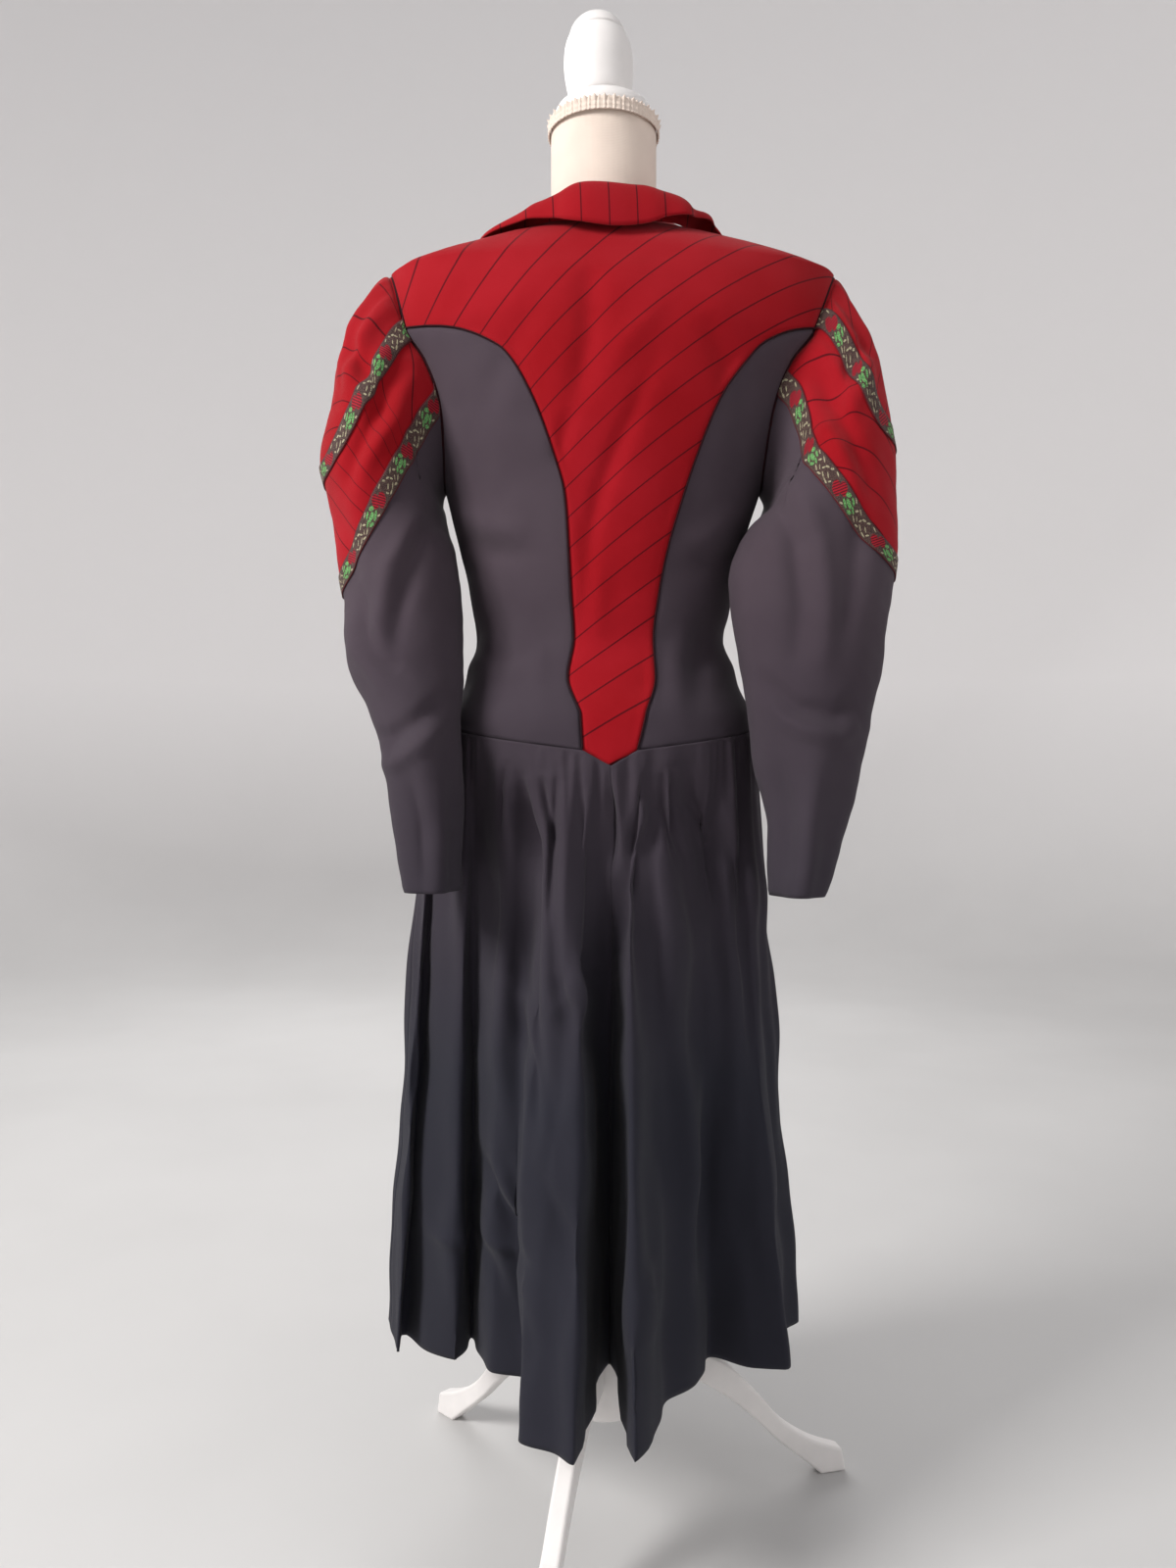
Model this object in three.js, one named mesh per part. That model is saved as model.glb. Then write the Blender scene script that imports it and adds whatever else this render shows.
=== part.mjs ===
// A long-sleeved cotton dress on a limbless dress form with a turned tripod stand.
// Millimetres, +Z up. The dress faces -Y, its back is towards +Y, and the wearer's left side is +X.
// The origin is on the floor under the middle of the whole thing. The shapes are worked out round
// the axis of the pole, which stands a little in front of it. Angles round the body run in degrees
// from the centre back (0) over the wearer's left side (90) to the centre front (180).
import * as THREE from 'three';

// Cloth
const WALL = 1.5;
const RIBBON_WALL = 1.0;
const SEAM_GAP = 0.4;
const TRIM_LIFT = 1.2;

// Heights of the dress
const HEM_HEIGHT = 170;
const NECK_HEIGHT = 1301;
const NECKLINE_POINT = 1165;
const SHOULDER_HEIGHT = 1250;
const UNDERARM_HEIGHT = 1030;
const ARMHOLE_MIDDLE = (SHOULDER_HEIGHT + UNDERARM_HEIGHT) / 2;

// The centre line of the dress hangs a little off the middle of the form
const CENTRE_ANGLE = -2;

// Stand
const POLE_PLACE = -22;
const POLE_RADIUS = 17;
const HUB_RADIUS = 35;
const HUB_TOP = 166;
const HUB_BOTTOM = 100;
const LEG_ANGLES = [75, 195, 315];
const LEG_BOARD = 18;
const FORM_BOTTOM = 640;
const NECK_RIM = 1405;
const CAP_HEIGHT = 22;
const PIECE_GAP = 0.3;

// Buttons of the front opening
const BUTTON_COUNT = 6;
const BUTTON_RADIUS = 6;
const BUTTON_THICKNESS = 2.6;
const PLACKET_WIDTH = 20;
const PLACKET_LIFT = 1.6 + WALL;
const PLACKET_WAIST_GAP = 2;
const PLACKET_NECK_GAP = 0.014;

// Colours and finish
const cloth = (color, roughness = 0.92) => new THREE.MeshStandardMaterial({
  color, roughness, metalness: 0, side: THREE.DoubleSide,
});
const RED_COTTON = cloth(0xb21c2a);
const GREY_COTTON = cloth(0x4a444a);
const RIBBON_WEAVE = cloth(0x4b4033, 0.8);
const FORM_COVER = cloth(0xebdcd0, 0.85);
const WHITE_PAINT = cloth(0xf2f0ee, 0.35);
const BUTTON_HORN = cloth(0x2c2628, 0.4);

// Small sums used by every shape
const { lerp, clamp, degToRad, radToDeg, smoothstep } = THREE.MathUtils;
const vector = (x, y, z) => new THREE.Vector3(x, y, z);
const UP = vector(0, 0, 1);
const steps = (count) => Array.from({ length: count + 1 }, (_, k) => k / count);
// An angle in degrees, brought into the turn that starts at another angle.
const turnedFrom = (start, angle) => start + ((angle - start) % 360 + 360) % 360;

// A smooth curve through (x, y) places that never swings past them.
function monotoneCurve(xs, ys) {
  const last = xs.length - 1;
  const rise = (k) => (ys[k + 1] - ys[k]) / (xs[k + 1] - xs[k]);
  const slopes = xs.map((_, k) => {
    if (k === 0) return rise(0);
    if (k === last) return rise(last - 1);
    const [before, after] = [rise(k - 1), rise(k)];
    return before * after <= 0 ? 0 : 2 * before * after / (before + after);
  });
  return (x) => {
    let k = 0;
    while (k < last - 1 && x > xs[k + 1]) k += 1;
    const span = xs[k + 1] - xs[k];
    const t = clamp((x - xs[k]) / span, 0, 1);
    const [t2, t3] = [t * t, t * t * t];
    return (2 * t3 - 3 * t2 + 1) * ys[k] + (t3 - 2 * t2 + t) * span * slopes[k]
      + (3 * t2 - 2 * t3) * ys[k + 1] + (t3 - t2) * span * slopes[k + 1];
  };
}

// A table with named columns becomes a smooth function of its first column.
function smoothTable(columns, rows) {
  const keys = rows.map((row) => row[0]);
  const curves = columns.slice(1).map(
    (name, k) => [name, monotoneCurve(keys, rows.map((row) => row[k + 1]))],
  );
  return (key) => Object.fromEntries(curves.map(([name, curve]) => [name, curve(key)]));
}

// The outward normal of a surface at one of its places.
function normalAt(surface, u, v) {
  const [du, dv] = surface.step;
  const alongU = surface.point(u + du, v).sub(surface.point(u - du, v));
  const alongV = surface.point(u, v + dv).sub(surface.point(u, v - dv));
  return alongU.cross(alongV).normalize().multiplyScalar(surface.side);
}

const lifted = (surface, u, v, lift) => surface.point(u, v)
  .addScaledVector(normalAt(surface, u, v), lift);

// The places round the rim of a grid, in turn.
function rimOf(rows, cols) {
  return [
    ...steps(cols).slice(1).map((_, col) => [0, col]),
    ...steps(rows).slice(1).map((_, row) => [row, cols]),
    ...steps(cols).slice(1).map((_, col) => [rows, cols - col]),
    ...steps(rows).slice(1).map((_, row) => [rows - row, 0]),
  ];
}

// One closed body between two grids of points, its outer face first.
function closedSheet(outer, inner, outward) {
  const [rows, cols] = [outer.length - 1, outer[0].length - 1];
  const points = [...outer.flat(), ...inner.flat()];
  const layer = (rows + 1) * (cols + 1);
  const at = (row, col) => row * (cols + 1) + col;
  const faces = [];
  for (let row = 0; row < rows; row += 1) {
    for (let col = 0; col < cols; col += 1) {
      const [a, b] = [at(row, col), at(row, col + 1)];
      const [c, d] = [at(row + 1, col + 1), at(row + 1, col)];
      faces.push([a, b, c], [a, c, d]);
      faces.push([a + layer, c + layer, b + layer], [a + layer, d + layer, c + layer]);
    }
  }
  const rim = rimOf(rows, cols).map(([row, col]) => at(row, col));
  rim.forEach((a, k) => {
    const b = rim[(k + 1) % rim.length];
    faces.push([b, a, a + layer], [b, a + layer, b + layer]);
  });
  const middle = [Math.floor(rows / 2), Math.floor(cols / 2)];
  const corner = points[at(...middle)];
  const turn = points[at(middle[0], middle[1] + 1)].clone().sub(corner)
    .cross(points[at(middle[0] + 1, middle[1])].clone().sub(corner));
  return facesGeometry(points, faces, turn.dot(outward(...middle)) < 0);
}

function facesGeometry(points, faces, reversed) {
  const geometry = new THREE.BufferGeometry().setFromPoints(points);
  geometry.setIndex(faces.flatMap(([a, b, c]) => (reversed ? [a, c, b] : [a, b, c])));
  geometry.computeVertexNormals();
  return geometry;
}

// Points on the rim of a panel step back at right angles to it, which leaves the seam's gap.
const LONGEST_MITRE = 0.3;
function trimmed(grid, normals, trim) {
  const loop = rimOf(grid.length - 1, grid[0].length - 1);
  const before = (k) => (k + loop.length - 1) % loop.length;
  const inward = loop.map(([row, col], k) => {
    const [nextRow, nextCol] = loop[(k + 1) % loop.length];
    const along = grid[nextRow][nextCol].clone().sub(grid[row][col]);
    return normals[row][col].clone().cross(along).normalize();
  });
  const intoPanel = grid[1][1].clone().sub(grid[0][0]);
  const sign = Math.sign(inward[0].dot(intoPanel));
  const moved = grid.map((line) => line.map((point) => point.clone()));
  loop.forEach(([row, col], k) => {
    const [one, other] = [inward[before(k)], inward[k]];
    const mitre = one.clone().add(other).divideScalar(Math.max(LONGEST_MITRE, 1 + one.dot(other)));
    moved[row][col].addScaledVector(mitre, sign * trim);
  });
  return moved;
}

// A piece of cloth on a grid of (u, v) places of a surface, with its wall behind the outer face.
function clothPiece(surface, places, { lift = 0, wall = WALL, trim = SEAM_GAP / 2 } = {}) {
  const flat = places.map((line) => line.map(([u, v]) => surface.point(u, v)));
  const normals = places.map((line) => line.map(([u, v]) => normalAt(surface, u, v)));
  const points = trimmed(flat, normals, trim);
  const moved = (distance) => points.map((line, row) => line.map(
    (point, col) => point.clone().addScaledVector(normals[row][col], distance),
  ));
  return closedSheet(moved(lift), moved(lift - wall), (row, col) => normals[row][col]);
}

// Places spread evenly between four edges that share their corners.
// low and high run from start to end, and start and end run from low to high.
function spread({ low, high, start, end }) {
  const [rows, cols] = [start.length - 1, low.length - 1];
  return start.map((_, row) => low.map((__, col) => {
    const [r, c] = [row / rows, col / cols];
    return [0, 1].map((k) => lerp(low[col][k], high[col][k], r)
      + lerp(start[row][k], end[row][k], c)
      - lerp(lerp(low[0][k], low[cols][k], c), lerp(high[0][k], high[cols][k], c), r));
  }));
}

// A solid skinned over closed rings of points, with a fan over each end.
function ringSolid(rings) {
  const count = rings[0].length;
  const points = rings.flat();
  const faces = [];
  for (let ring = 0; ring < rings.length - 1; ring += 1) {
    for (let k = 0; k < count; k += 1) {
      const next = (k + 1) % count;
      const [a, b] = [ring * count + k, ring * count + next];
      faces.push([a, b, b + count], [a, b + count, a + count]);
    }
  }
  const middle = (ring) => ring.reduce((sum, point) => sum.add(point), vector(0, 0, 0))
    .divideScalar(count);
  const [bottom, top] = [points.length, points.length + 1];
  const lastRing = (rings.length - 1) * count;
  points.push(middle(rings[0]), middle(rings.at(-1)));
  for (let k = 0; k < count; k += 1) {
    const next = (k + 1) % count;
    faces.push([bottom, next, k], [top, lastRing + k, lastRing + next]);
  }
  return facesGeometry(points, faces, false);
}

const dress = new THREE.Group();
dress.name = 'dress_on_form';
dress.position.y = POLE_PLACE;

function add(name, geometry, material) {
  const mesh = new THREE.Mesh(geometry, material);
  mesh.name = name;
  dress.add(mesh);
  return mesh;
}

// Bodice
// Rings of the bodice from the dropped waist to the neck: half width, depth to the back and to
// the front, sideways place of the middle, and how far the back of the ring hangs below its height.
const bodiceRing = smoothTable(
  ['height', 'halfWidth', 'back', 'front', 'middle', 'backDrop'],
  [
    [752, 163, 128, 100, 2, 0],
    [795, 156, 122, 96, 3, 0],
    [835, 138, 103, 86, 4, 0],
    [878, 126, 88, 80, 5, 0],
    [920, 131, 90, 88, 5, 0],
    [975, 144, 95, 104, 4, 0],
    [1030, 160, 99, 118, 2, 0],
    [1070, 172, 103, 116, 0, 0],
    [1110, 184, 106, 108, -2, 0],
    [1150, 202, 106, 96, -3, 0],
    [1184, 223, 103, 84, -5, 0],
    [1220, 226, 96, 70, -7, 1],
    [1250, 225, 86, 58, -8, 4],
    [1262, 192, 82, 54, -7, 6],
    [1274, 155, 77, 52, -6, 9],
    [1286, 116, 71, 52, -5, 12],
    [1295, 84, 66, 52, -4, 15],
    [1301, 67, 62, 50, -3, 17],
  ],
);
const bodice = {
  side: -1,
  step: [0.5, 0.5],
  point(angle, height) {
    const ring = bodiceRing(height);
    const [sine, cosine] = [Math.sin(degToRad(angle)), Math.cos(degToRad(angle))];
    const depth = cosine > 0 ? ring.back : ring.front;
    const drop = cosine > 0 ? ring.backDrop * cosine * cosine : 0;
    return vector(ring.middle + ring.halfWidth * sine, depth * cosine, height - drop);
  },
};

// The angle at which the bodice is x to the side of the origin, on its back or on its front.
function bodiceAngle(x, height, onFront) {
  const ring = bodiceRing(height);
  const angle = radToDeg(Math.asin(clamp((x - ring.middle) / ring.halfWidth, -1, 1)));
  return onFront ? 180 - angle : angle;
}

// The waist seam drops to a point at the centre back and, lower still, at the centre front.
const waistHeight = (() => {
  const rows = [
    { from: 0, height: 751.5 },
    { from: 9, height: 766 },
    { from: 90, height: 795 },
    { from: 171, height: 768 },
    { from: 180, height: 755 },
  ];
  return (angle) => {
    const turned = Math.abs(turnedFrom(CENTRE_ANGLE - 180, angle) - CENTRE_ANGLE);
    const next = Math.max(1, rows.findIndex((row) => turned <= row.from));
    const [below, above] = [rows[next - 1], rows[next]];
    const share = (turned - below.from) / (above.from - below.from);
    return lerp(below.height, above.height, share);
  };
})();
const waistPlace = (angle) => [angle, waistHeight(angle)];

// The armhole, from the underarm (0) over the back (0.25) and the shoulder tip (0.5) to the front.
const ARMHOLE_BACK_REACH = 27;
const ARMHOLE_FRONT_REACH = 30;
const PANEL_NOTCH = 0.3156;
const armholeTurns = [
  ...steps(4).map((t) => t * PANEL_NOTCH),
  ...steps(3).slice(1).map((t) => lerp(PANEL_NOTCH, 0.5, t)),
  ...steps(3).slice(1).map((t) => lerp(0.5, 1 - PANEL_NOTCH, t)),
  ...steps(4).slice(1).map((t) => lerp(1 - PANEL_NOTCH, 1, t)),
];
function armholePlace(turn, sideSign) {
  const angle = turn * 2 * Math.PI;
  const reach = turn < 0.5 ? ARMHOLE_BACK_REACH : ARMHOLE_FRONT_REACH;
  const height = ARMHOLE_MIDDLE - (SHOULDER_HEIGHT - ARMHOLE_MIDDLE) * Math.cos(angle);
  return [sideSign * (90 - reach * Math.sin(angle)), height];
}

// The long V seam between the red centre panel and the grey sides, from the waist to the armhole:
// how far it is to the wearer's left and right of the origin at each height.
const V_SEAM = [
  { height: 801, left: 24, right: -37 },
  { height: 836, left: 36, right: -46.7 },
  { height: 874, left: 30.6, right: -45.5 },
  { height: 912, left: 33, right: -50 },
  { height: 956, left: 35.5, right: -58.5 },
  { height: 1006, left: 39, right: -73 },
  { height: 1053, left: 52, right: -89 },
  { height: 1105, left: 72, right: -111 },
  { height: 1146, left: 97, right: -140 },
  { height: 1158, left: 114, right: -151 },
  { height: 1167, left: 131, right: -165 },
  { height: 1174, left: 150, right: -179 },
  { height: 1179.5, left: 174, right: -194 },
];
const V_SEAM_WAIST_ANGLE = 9;
const V_SEAM_CORNER = 9;
function vSeam(sideSign, onFront) {
  const centre = onFront ? 180 * sideSign + CENTRE_ANGLE : CENTRE_ANGLE;
  const towards = onFront ? -sideSign : sideSign;
  const waist = waistPlace(centre + towards * V_SEAM_WAIST_ANGLE);
  const between = V_SEAM.map(({ height, left, right }) => {
    const angle = bodiceAngle(sideSign > 0 ? left : right, height, false);
    return [onFront ? 180 * sideSign - angle : angle, height];
  });
  const notch = onFront ? 1 - PANEL_NOTCH : PANEL_NOTCH;
  return [waist, ...between, armholePlace(notch, sideSign)];
}

const armholePart = (from, to, sideSign) => armholeTurns
  .filter((turn) => turn >= from - 1e-6 && turn <= to + 1e-6)
  .map((turn) => armholePlace(turn, sideSign));

const SHOULDER_STEPS = 5;
const shoulderSeam = (sideSign) => steps(SHOULDER_STEPS).map(
  (t) => [90 * sideSign, lerp(SHOULDER_HEIGHT, NECK_HEIGHT, t)],
);

// The red centre back, from the point of the waist to the neck and both shoulder seams
const RED_BACK_STEPS = 14;
function redBack() {
  const edge = (sideSign) => [
    ...vSeam(sideSign, false),
    ...armholePart(PANEL_NOTCH, 0.5, sideSign).slice(1),
    ...shoulderSeam(sideSign).slice(1),
  ];
  const [start, end] = [edge(-1), edge(1)];
  const across = steps(RED_BACK_STEPS);
  return spread({
    low: across.map((t) => waistPlace(lerp(start[0][0], end[0][0], t))),
    high: across.map((t) => [lerp(-90, 90, t), NECK_HEIGHT]),
    start,
    end,
  });
}

// A grey side panel, from the V seam to the side seam and the lower half of the armhole
const SIDE_SEAM_STEPS = 5;
function greySide(sideSign, onFront) {
  const seam = vSeam(sideSign, onFront);
  const sideAngle = 90 * sideSign + CENTRE_ANGLE;
  const underarm = steps(SIDE_SEAM_STEPS).map((t) => [
    lerp(sideAngle, 90 * sideSign, t),
    lerp(waistHeight(sideAngle), UNDERARM_HEIGHT, t),
  ]);
  const armhole = onFront
    ? armholePart(1 - PANEL_NOTCH, 1, sideSign).reverse()
    : armholePart(0, PANEL_NOTCH, sideSign);
  const across = steps(seam.length - 1 - V_SEAM_CORNER);
  return spread({
    low: across.map((t) => waistPlace(lerp(seam[0][0], sideAngle, t))),
    high: seam.slice(V_SEAM_CORNER),
    start: seam.slice(0, V_SEAM_CORNER + 1),
    end: [...underarm, ...armhole.slice(1)],
  });
}

// The front neckline runs in a V from the shoulder to the top button.
const NECK_HALF_WIDTH = 67;
const NECKLINE_CURVE = 1.2;
function frontNeckPlace(t, sideSign) {
  const height = lerp(NECK_HEIGHT, NECKLINE_POINT, t);
  const ring = bodiceRing(height);
  const open = ((height - NECKLINE_POINT) / (NECK_HEIGHT - NECKLINE_POINT)) ** NECKLINE_CURVE;
  const x = ring.middle * (1 - t) + sideSign * lerp(0, NECK_HALF_WIDTH, open);
  const reach = clamp((x - ring.middle) / ring.halfWidth, -1, 1) * sideSign;
  return [sideSign * (180 - radToDeg(Math.asin(reach))), height];
}

// A red front, from the centre front and the neckline to the V seam, armhole and shoulder
const CENTRE_FRONT_STEPS = 12;
function redFront(sideSign) {
  const centre = 180 * sideSign + CENTRE_ANGLE;
  const opening = steps(CENTRE_FRONT_STEPS).map((t) => [
    lerp(centre, 180 * sideSign, t),
    lerp(waistHeight(centre), NECKLINE_POINT, t),
  ]);
  const outer = [
    ...vSeam(sideSign, true),
    ...armholePart(0.5, 1 - PANEL_NOTCH, sideSign).reverse().slice(1),
  ];
  const neckSteps = outer.length - 1 - CENTRE_FRONT_STEPS;
  const neckline = steps(neckSteps).map((t) => frontNeckPlace(1 - t, sideSign));
  const across = steps(SHOULDER_STEPS);
  return spread({
    low: across.map((t) => waistPlace(lerp(centre, outer[0][0], t))),
    high: shoulderSeam(sideSign).reverse(),
    start: [...opening, ...neckline.slice(1)],
    end: outer,
  });
}

add('back_red_panel', clothPiece(bodice, redBack()), RED_COTTON);
for (const [label, sideSign] of [['left', 1], ['right', -1]]) {
  add(`side_back_${label}`, clothPiece(bodice, greySide(sideSign, false)), GREY_COTTON);
  add(`side_front_${label}`, clothPiece(bodice, greySide(sideSign, true)), GREY_COTTON);
  add(`front_red_${label}`, clothPiece(bodice, redFront(sideSign)), RED_COTTON);
}

// Front opening: a placket over the two front edges, with a row of buttons
const openingPlace = (t) => [
  lerp(180 + CENTRE_ANGLE, 180, t),
  lerp(waistHeight(180 + CENTRE_ANGLE), NECKLINE_POINT, t),
];
const openingShares = steps(CENTRE_FRONT_STEPS);
openingShares[CENTRE_FRONT_STEPS] -= PLACKET_NECK_GAP;
const placketPlaces = openingShares.map((share) => {
  const [angle, height] = openingPlace(share);
  const reach = radToDeg(PLACKET_WIDTH / 2 / bodiceRing(height).halfWidth);
  return [-1, 0, 1].map((k) => {
    const across = angle + k * reach;
    return [across, Math.max(height, waistHeight(across) + PLACKET_WAIST_GAP)];
  });
});
add(
  'front_placket',
  clothPiece(bodice, placketPlaces, { lift: PLACKET_LIFT, trim: 0 }),
  RED_COTTON,
);

// A turned shape from its profile, with the axis upright.
const CAP_SIDES = 28;
const FINIAL_SIDES = 24;
const HUB_SIDES = 24;
const POLE_SIDES = 20;
const BUTTON_SIDES = 12;
function lathe(profile, segments) {
  const points = profile.map(({ radius, height }) => new THREE.Vector2(radius, height));
  return new THREE.LatheGeometry(points, segments).rotateX(Math.PI / 2);
}

const buttonProfile = [
  { radius: 0, height: 0 },
  { radius: BUTTON_RADIUS * 0.8, height: 0 },
  { radius: BUTTON_RADIUS, height: BUTTON_THICKNESS * 0.4 },
  { radius: BUTTON_RADIUS * 0.85, height: BUTTON_THICKNESS },
  { radius: 0, height: BUTTON_THICKNESS },
];
// A button sits in the middle of every second stretch of the placket.
for (let k = 0; k < BUTTON_COUNT; k += 1) {
  const ends = [2 * k + 1, 2 * k + 2].map((step) => openingPlace(step / CENTRE_FRONT_STEPS));
  const seats = ends.map((place) => lifted(bodice, ...place, PLACKET_LIFT + PIECE_GAP));
  const facing = normalAt(bodice, ...ends[0]).add(normalAt(bodice, ...ends[1])).normalize();
  const button = add(`button_${k + 1}`, lathe(buttonProfile, BUTTON_SIDES), BUTTON_HORN);
  button.position.copy(seats[0].lerp(seats[1], 0.5));
  button.quaternion.setFromUnitVectors(UP, facing);
}

// Collar
// It stands up from the neckline, rolls over and falls outwards. Stations run from the centre
// back (0) over the shoulder to the front point (1). A row gives the place of the bodice under
// the fallen edge, how far the edge is lifted from it on the wearer's left and right, how high
// the roll rises, and how upright it rises.
const COLLAR_SHOULDER = 0.42;
const COLLAR_END = 0.97;
const COLLAR_FOOT_LIFT = 2.4;
const COLLAR_STEPS = 44;
const COLLAR_ROWS = 5;
const collarStation = smoothTable(
  ['station', 'edgeAngle', 'edgeHeight', 'liftLeft', 'liftRight', 'rise', 'upright'],
  [
    [0, 0, 1256, 22, 22, 60, 1],
    [0.15, 24, 1263, 21, 27, 42, 1],
    [0.3, 52, 1279, 13, 17, 20, 1],
    [0.42, 86, 1286, 8, 13, 11, 0.8],
    [0.5, 138, 1270, 6, 7, 10, 0.5],
    [0.6, 153, 1246, 4, 4, 8, 0.2],
    [0.8, 163.5, 1202, 3, 3, 6, 0],
    [1, 175.5, 1174, 3, 3, 3, 0],
  ],
);
const collar = {
  side: 1,
  step: [0.004, 0.01],
  point(station, across) {
    const sideSign = station < 0 ? -1 : 1;
    const reach = Math.abs(station);
    const row = collarStation(reach);
    const front = (reach - COLLAR_SHOULDER) / (1 - COLLAR_SHOULDER) * COLLAR_END;
    const neck = reach < COLLAR_SHOULDER
      ? [90 * station / COLLAR_SHOULDER, NECK_HEIGHT]
      : frontNeckPlace(front, sideSign);
    const under = [sideSign * row.edgeAngle, row.edgeHeight];
    const foot = lifted(bodice, ...neck, COLLAR_FOOT_LIFT);
    const edge = lifted(bodice, ...under, sideSign > 0 ? row.liftLeft : row.liftRight);
    const raised = (start, place) => start.clone().addScaledVector(
      normalAt(bodice, ...place).lerp(UP, row.upright).normalize(),
      row.rise,
    );
    const curve = new THREE.CubicBezierCurve3(foot, raised(foot, neck), raised(edge, under), edge);
    return curve.getPoint(across);
  },
};
const collarPlaces = steps(COLLAR_ROWS).map(
  (across) => steps(COLLAR_STEPS).map((t) => [lerp(-1, 1, t), across]),
);
add('collar', clothPiece(collar, collarPlaces), RED_COTTON);

// Sleeves
// Rings of each sleeve from the armhole (0) to the wrist (1): the outermost and innermost places
// seen from behind, how far the middle of the ring lies to the back, and half its depth.
const SLEEVE_COLUMNS = ['along', 'outerX', 'outerZ', 'innerX', 'innerZ', 'middleY', 'halfDepth'];
const SLEEVE_RINGS = {
  left: smoothTable(SLEEVE_COLUMNS, [
    [0, 216, 1250, 165, 1030, 0, 52],
    [0.03, 233, 1252, 167, 1024, 2, 62],
    [0.09, 252, 1214, 165, 1018, 4, 74],
    [0.19, 270, 1150, 162, 1012, 6, 80],
    [0.25, 276, 1112, 160, 1006, 8, 84],
    [0.33, 284, 1062, 155, 985, 14, 82],
    [0.41, 274, 1012, 149, 967, 22, 77],
    [0.53, 262, 931, 144, 931, 34, 70],
    [0.66, 248, 851, 139, 851, 60, 60],
    [0.76, 220, 792, 138, 792, 88, 52],
    [0.82, 207, 754, 137, 754, 100, 48],
    [0.9, 200, 700, 136, 700, 108, 47],
    [1, 187, 637, 135, 637, 118, 42],
  ]),
  right: smoothTable(SLEEVE_COLUMNS, [
    [0, -233, 1250, -158, 1030, 0, 52],
    [0.03, -246, 1240, -162, 1024, 4, 62],
    [0.09, -262, 1196, -162, 1018, 8, 74],
    [0.19, -275, 1140, -156, 1006, 16, 84],
    [0.25, -281, 1100, -150, 1000, 24, 84],
    [0.33, -284, 1050, -140, 985, 37, 77],
    [0.41, -283, 1004, -130, 967, 52, 68],
    [0.53, -276, 935, -118, 930, 68, 58],
    [0.66, -262, 848, -128, 848, 82, 56],
    [0.76, -247, 790, -136, 790, 91, 54],
    [0.82, -236, 752, -139, 752, 98, 51],
    [0.9, -221, 695, -149, 695, 108, 47],
    [1, -201, 633, -151, 633, 118, 42],
  ]),
};
const SLEEVE_LENGTH = 650;
const SLEEVE_GIRTH = 480;
const SLEEVE_JOIN = 0.12;
const ARMHOLE_LIFT = 0.6;
const HEAD_GATHERS = 14;
const HEAD_GATHER_DEPTH = 3.2;

// The seam follows the straight stretches between the notches of the bodice's armhole.
function armholeSeam(turn, sideSign) {
  const round = ((turn % 1) + 1) % 1;
  const next = Math.max(1, armholeTurns.findIndex((notch) => round <= notch));
  const [from, to] = [armholeTurns[next - 1], armholeTurns[next]];
  const ends = [from, to].map(
    (notch) => lifted(bodice, ...armholePlace(notch, sideSign), ARMHOLE_LIFT),
  );
  return ends[0].lerp(ends[1], (round - from) / (to - from));
}

function sleeveGather(turn, along) {
  const overTop = smoothstep(turn, 0.2, 0.32) * (1 - smoothstep(turn, 0.68, 0.8));
  const fade = smoothstep(along, 0, 0.05) * (1 - smoothstep(along, 0.06, 0.28));
  return HEAD_GATHER_DEPTH * overTop * fade * Math.cos(2 * Math.PI * HEAD_GATHERS * turn);
}

function sleeveSurface(label, sideSign) {
  return {
    side: sideSign,
    step: [0.004, 0.003],
    point(turn, along) {
      const ring = SLEEVE_RINGS[label](clamp(along, 0, 1));
      const angle = 2 * Math.PI * turn;
      const outer = vector(ring.outerX, ring.middleY, ring.outerZ);
      const inner = vector(ring.innerX, ring.middleY, ring.innerZ);
      const middle = outer.clone().add(inner).multiplyScalar(0.5);
      const spoke = outer.sub(middle).multiplyScalar(-Math.cos(angle))
        .add(vector(0, ring.halfDepth * Math.sin(angle), 0));
      spoke.setLength(spoke.length() + sleeveGather(turn, along));
      const past = Math.max(0, along - 1) * SLEEVE_LENGTH;
      const tube = middle.add(spoke).add(vector(0, 0, -past));
      const seam = armholeSeam(turn, sideSign);
      return seam.lerp(tube, smoothstep(along, 0, SLEEVE_JOIN));
    },
  };
}

// Two V seams run round each sleeve with their points on the outside. Columns of the sleeve's
// grid are counted round it, and a seam starts a little below the armhole. Places along the
// sleeve are shares of its length.
const SLEEVE_GRID = 56;
const SEAM_START = 0.02;
const STRAIGHTNESS = 0.75;
const SEAM_TRIM = 0.7;
const RIBBON_HALF = 0.0125;
const RIBBON_CLEAR = 0.011;
const SLOPE_REACH = 0.02;
const SEAT_CLEAR = 0.0017;
const CAP_ROWS = 3;
const BAND_ROWS = 3;
const LOWER_ROWS = 8;
const V_LINES = {
  left: { upper: { column: 18, tip: 0.335 }, lower: { column: 12, tip: 0.51 } },
  right: { upper: { column: 18, tip: 0.257 }, lower: { column: 12, tip: 0.51 } },
};
const columns = (from, every) => steps((SLEEVE_GRID - 2 * from) / every).map(
  (t) => lerp(from, SLEEVE_GRID - from, t) / SLEEVE_GRID,
);

// A seam looks straight from behind, and still comes to a point on the outside of the sleeve.
function seamAt(line, turn) {
  const start = line.column / SLEEVE_GRID;
  const even = 1 - Math.abs(turn - 0.5) / (0.5 - start);
  if (even < -1e-6) return 0;
  const across = (place) => -Math.cos(2 * Math.PI * place);
  const seen = (across(turn) - across(start)) / (1 - across(start));
  return lerp(SEAM_START, line.tip, Math.max(0, lerp(even, seen, STRAIGHTNESS)));
}

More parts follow.
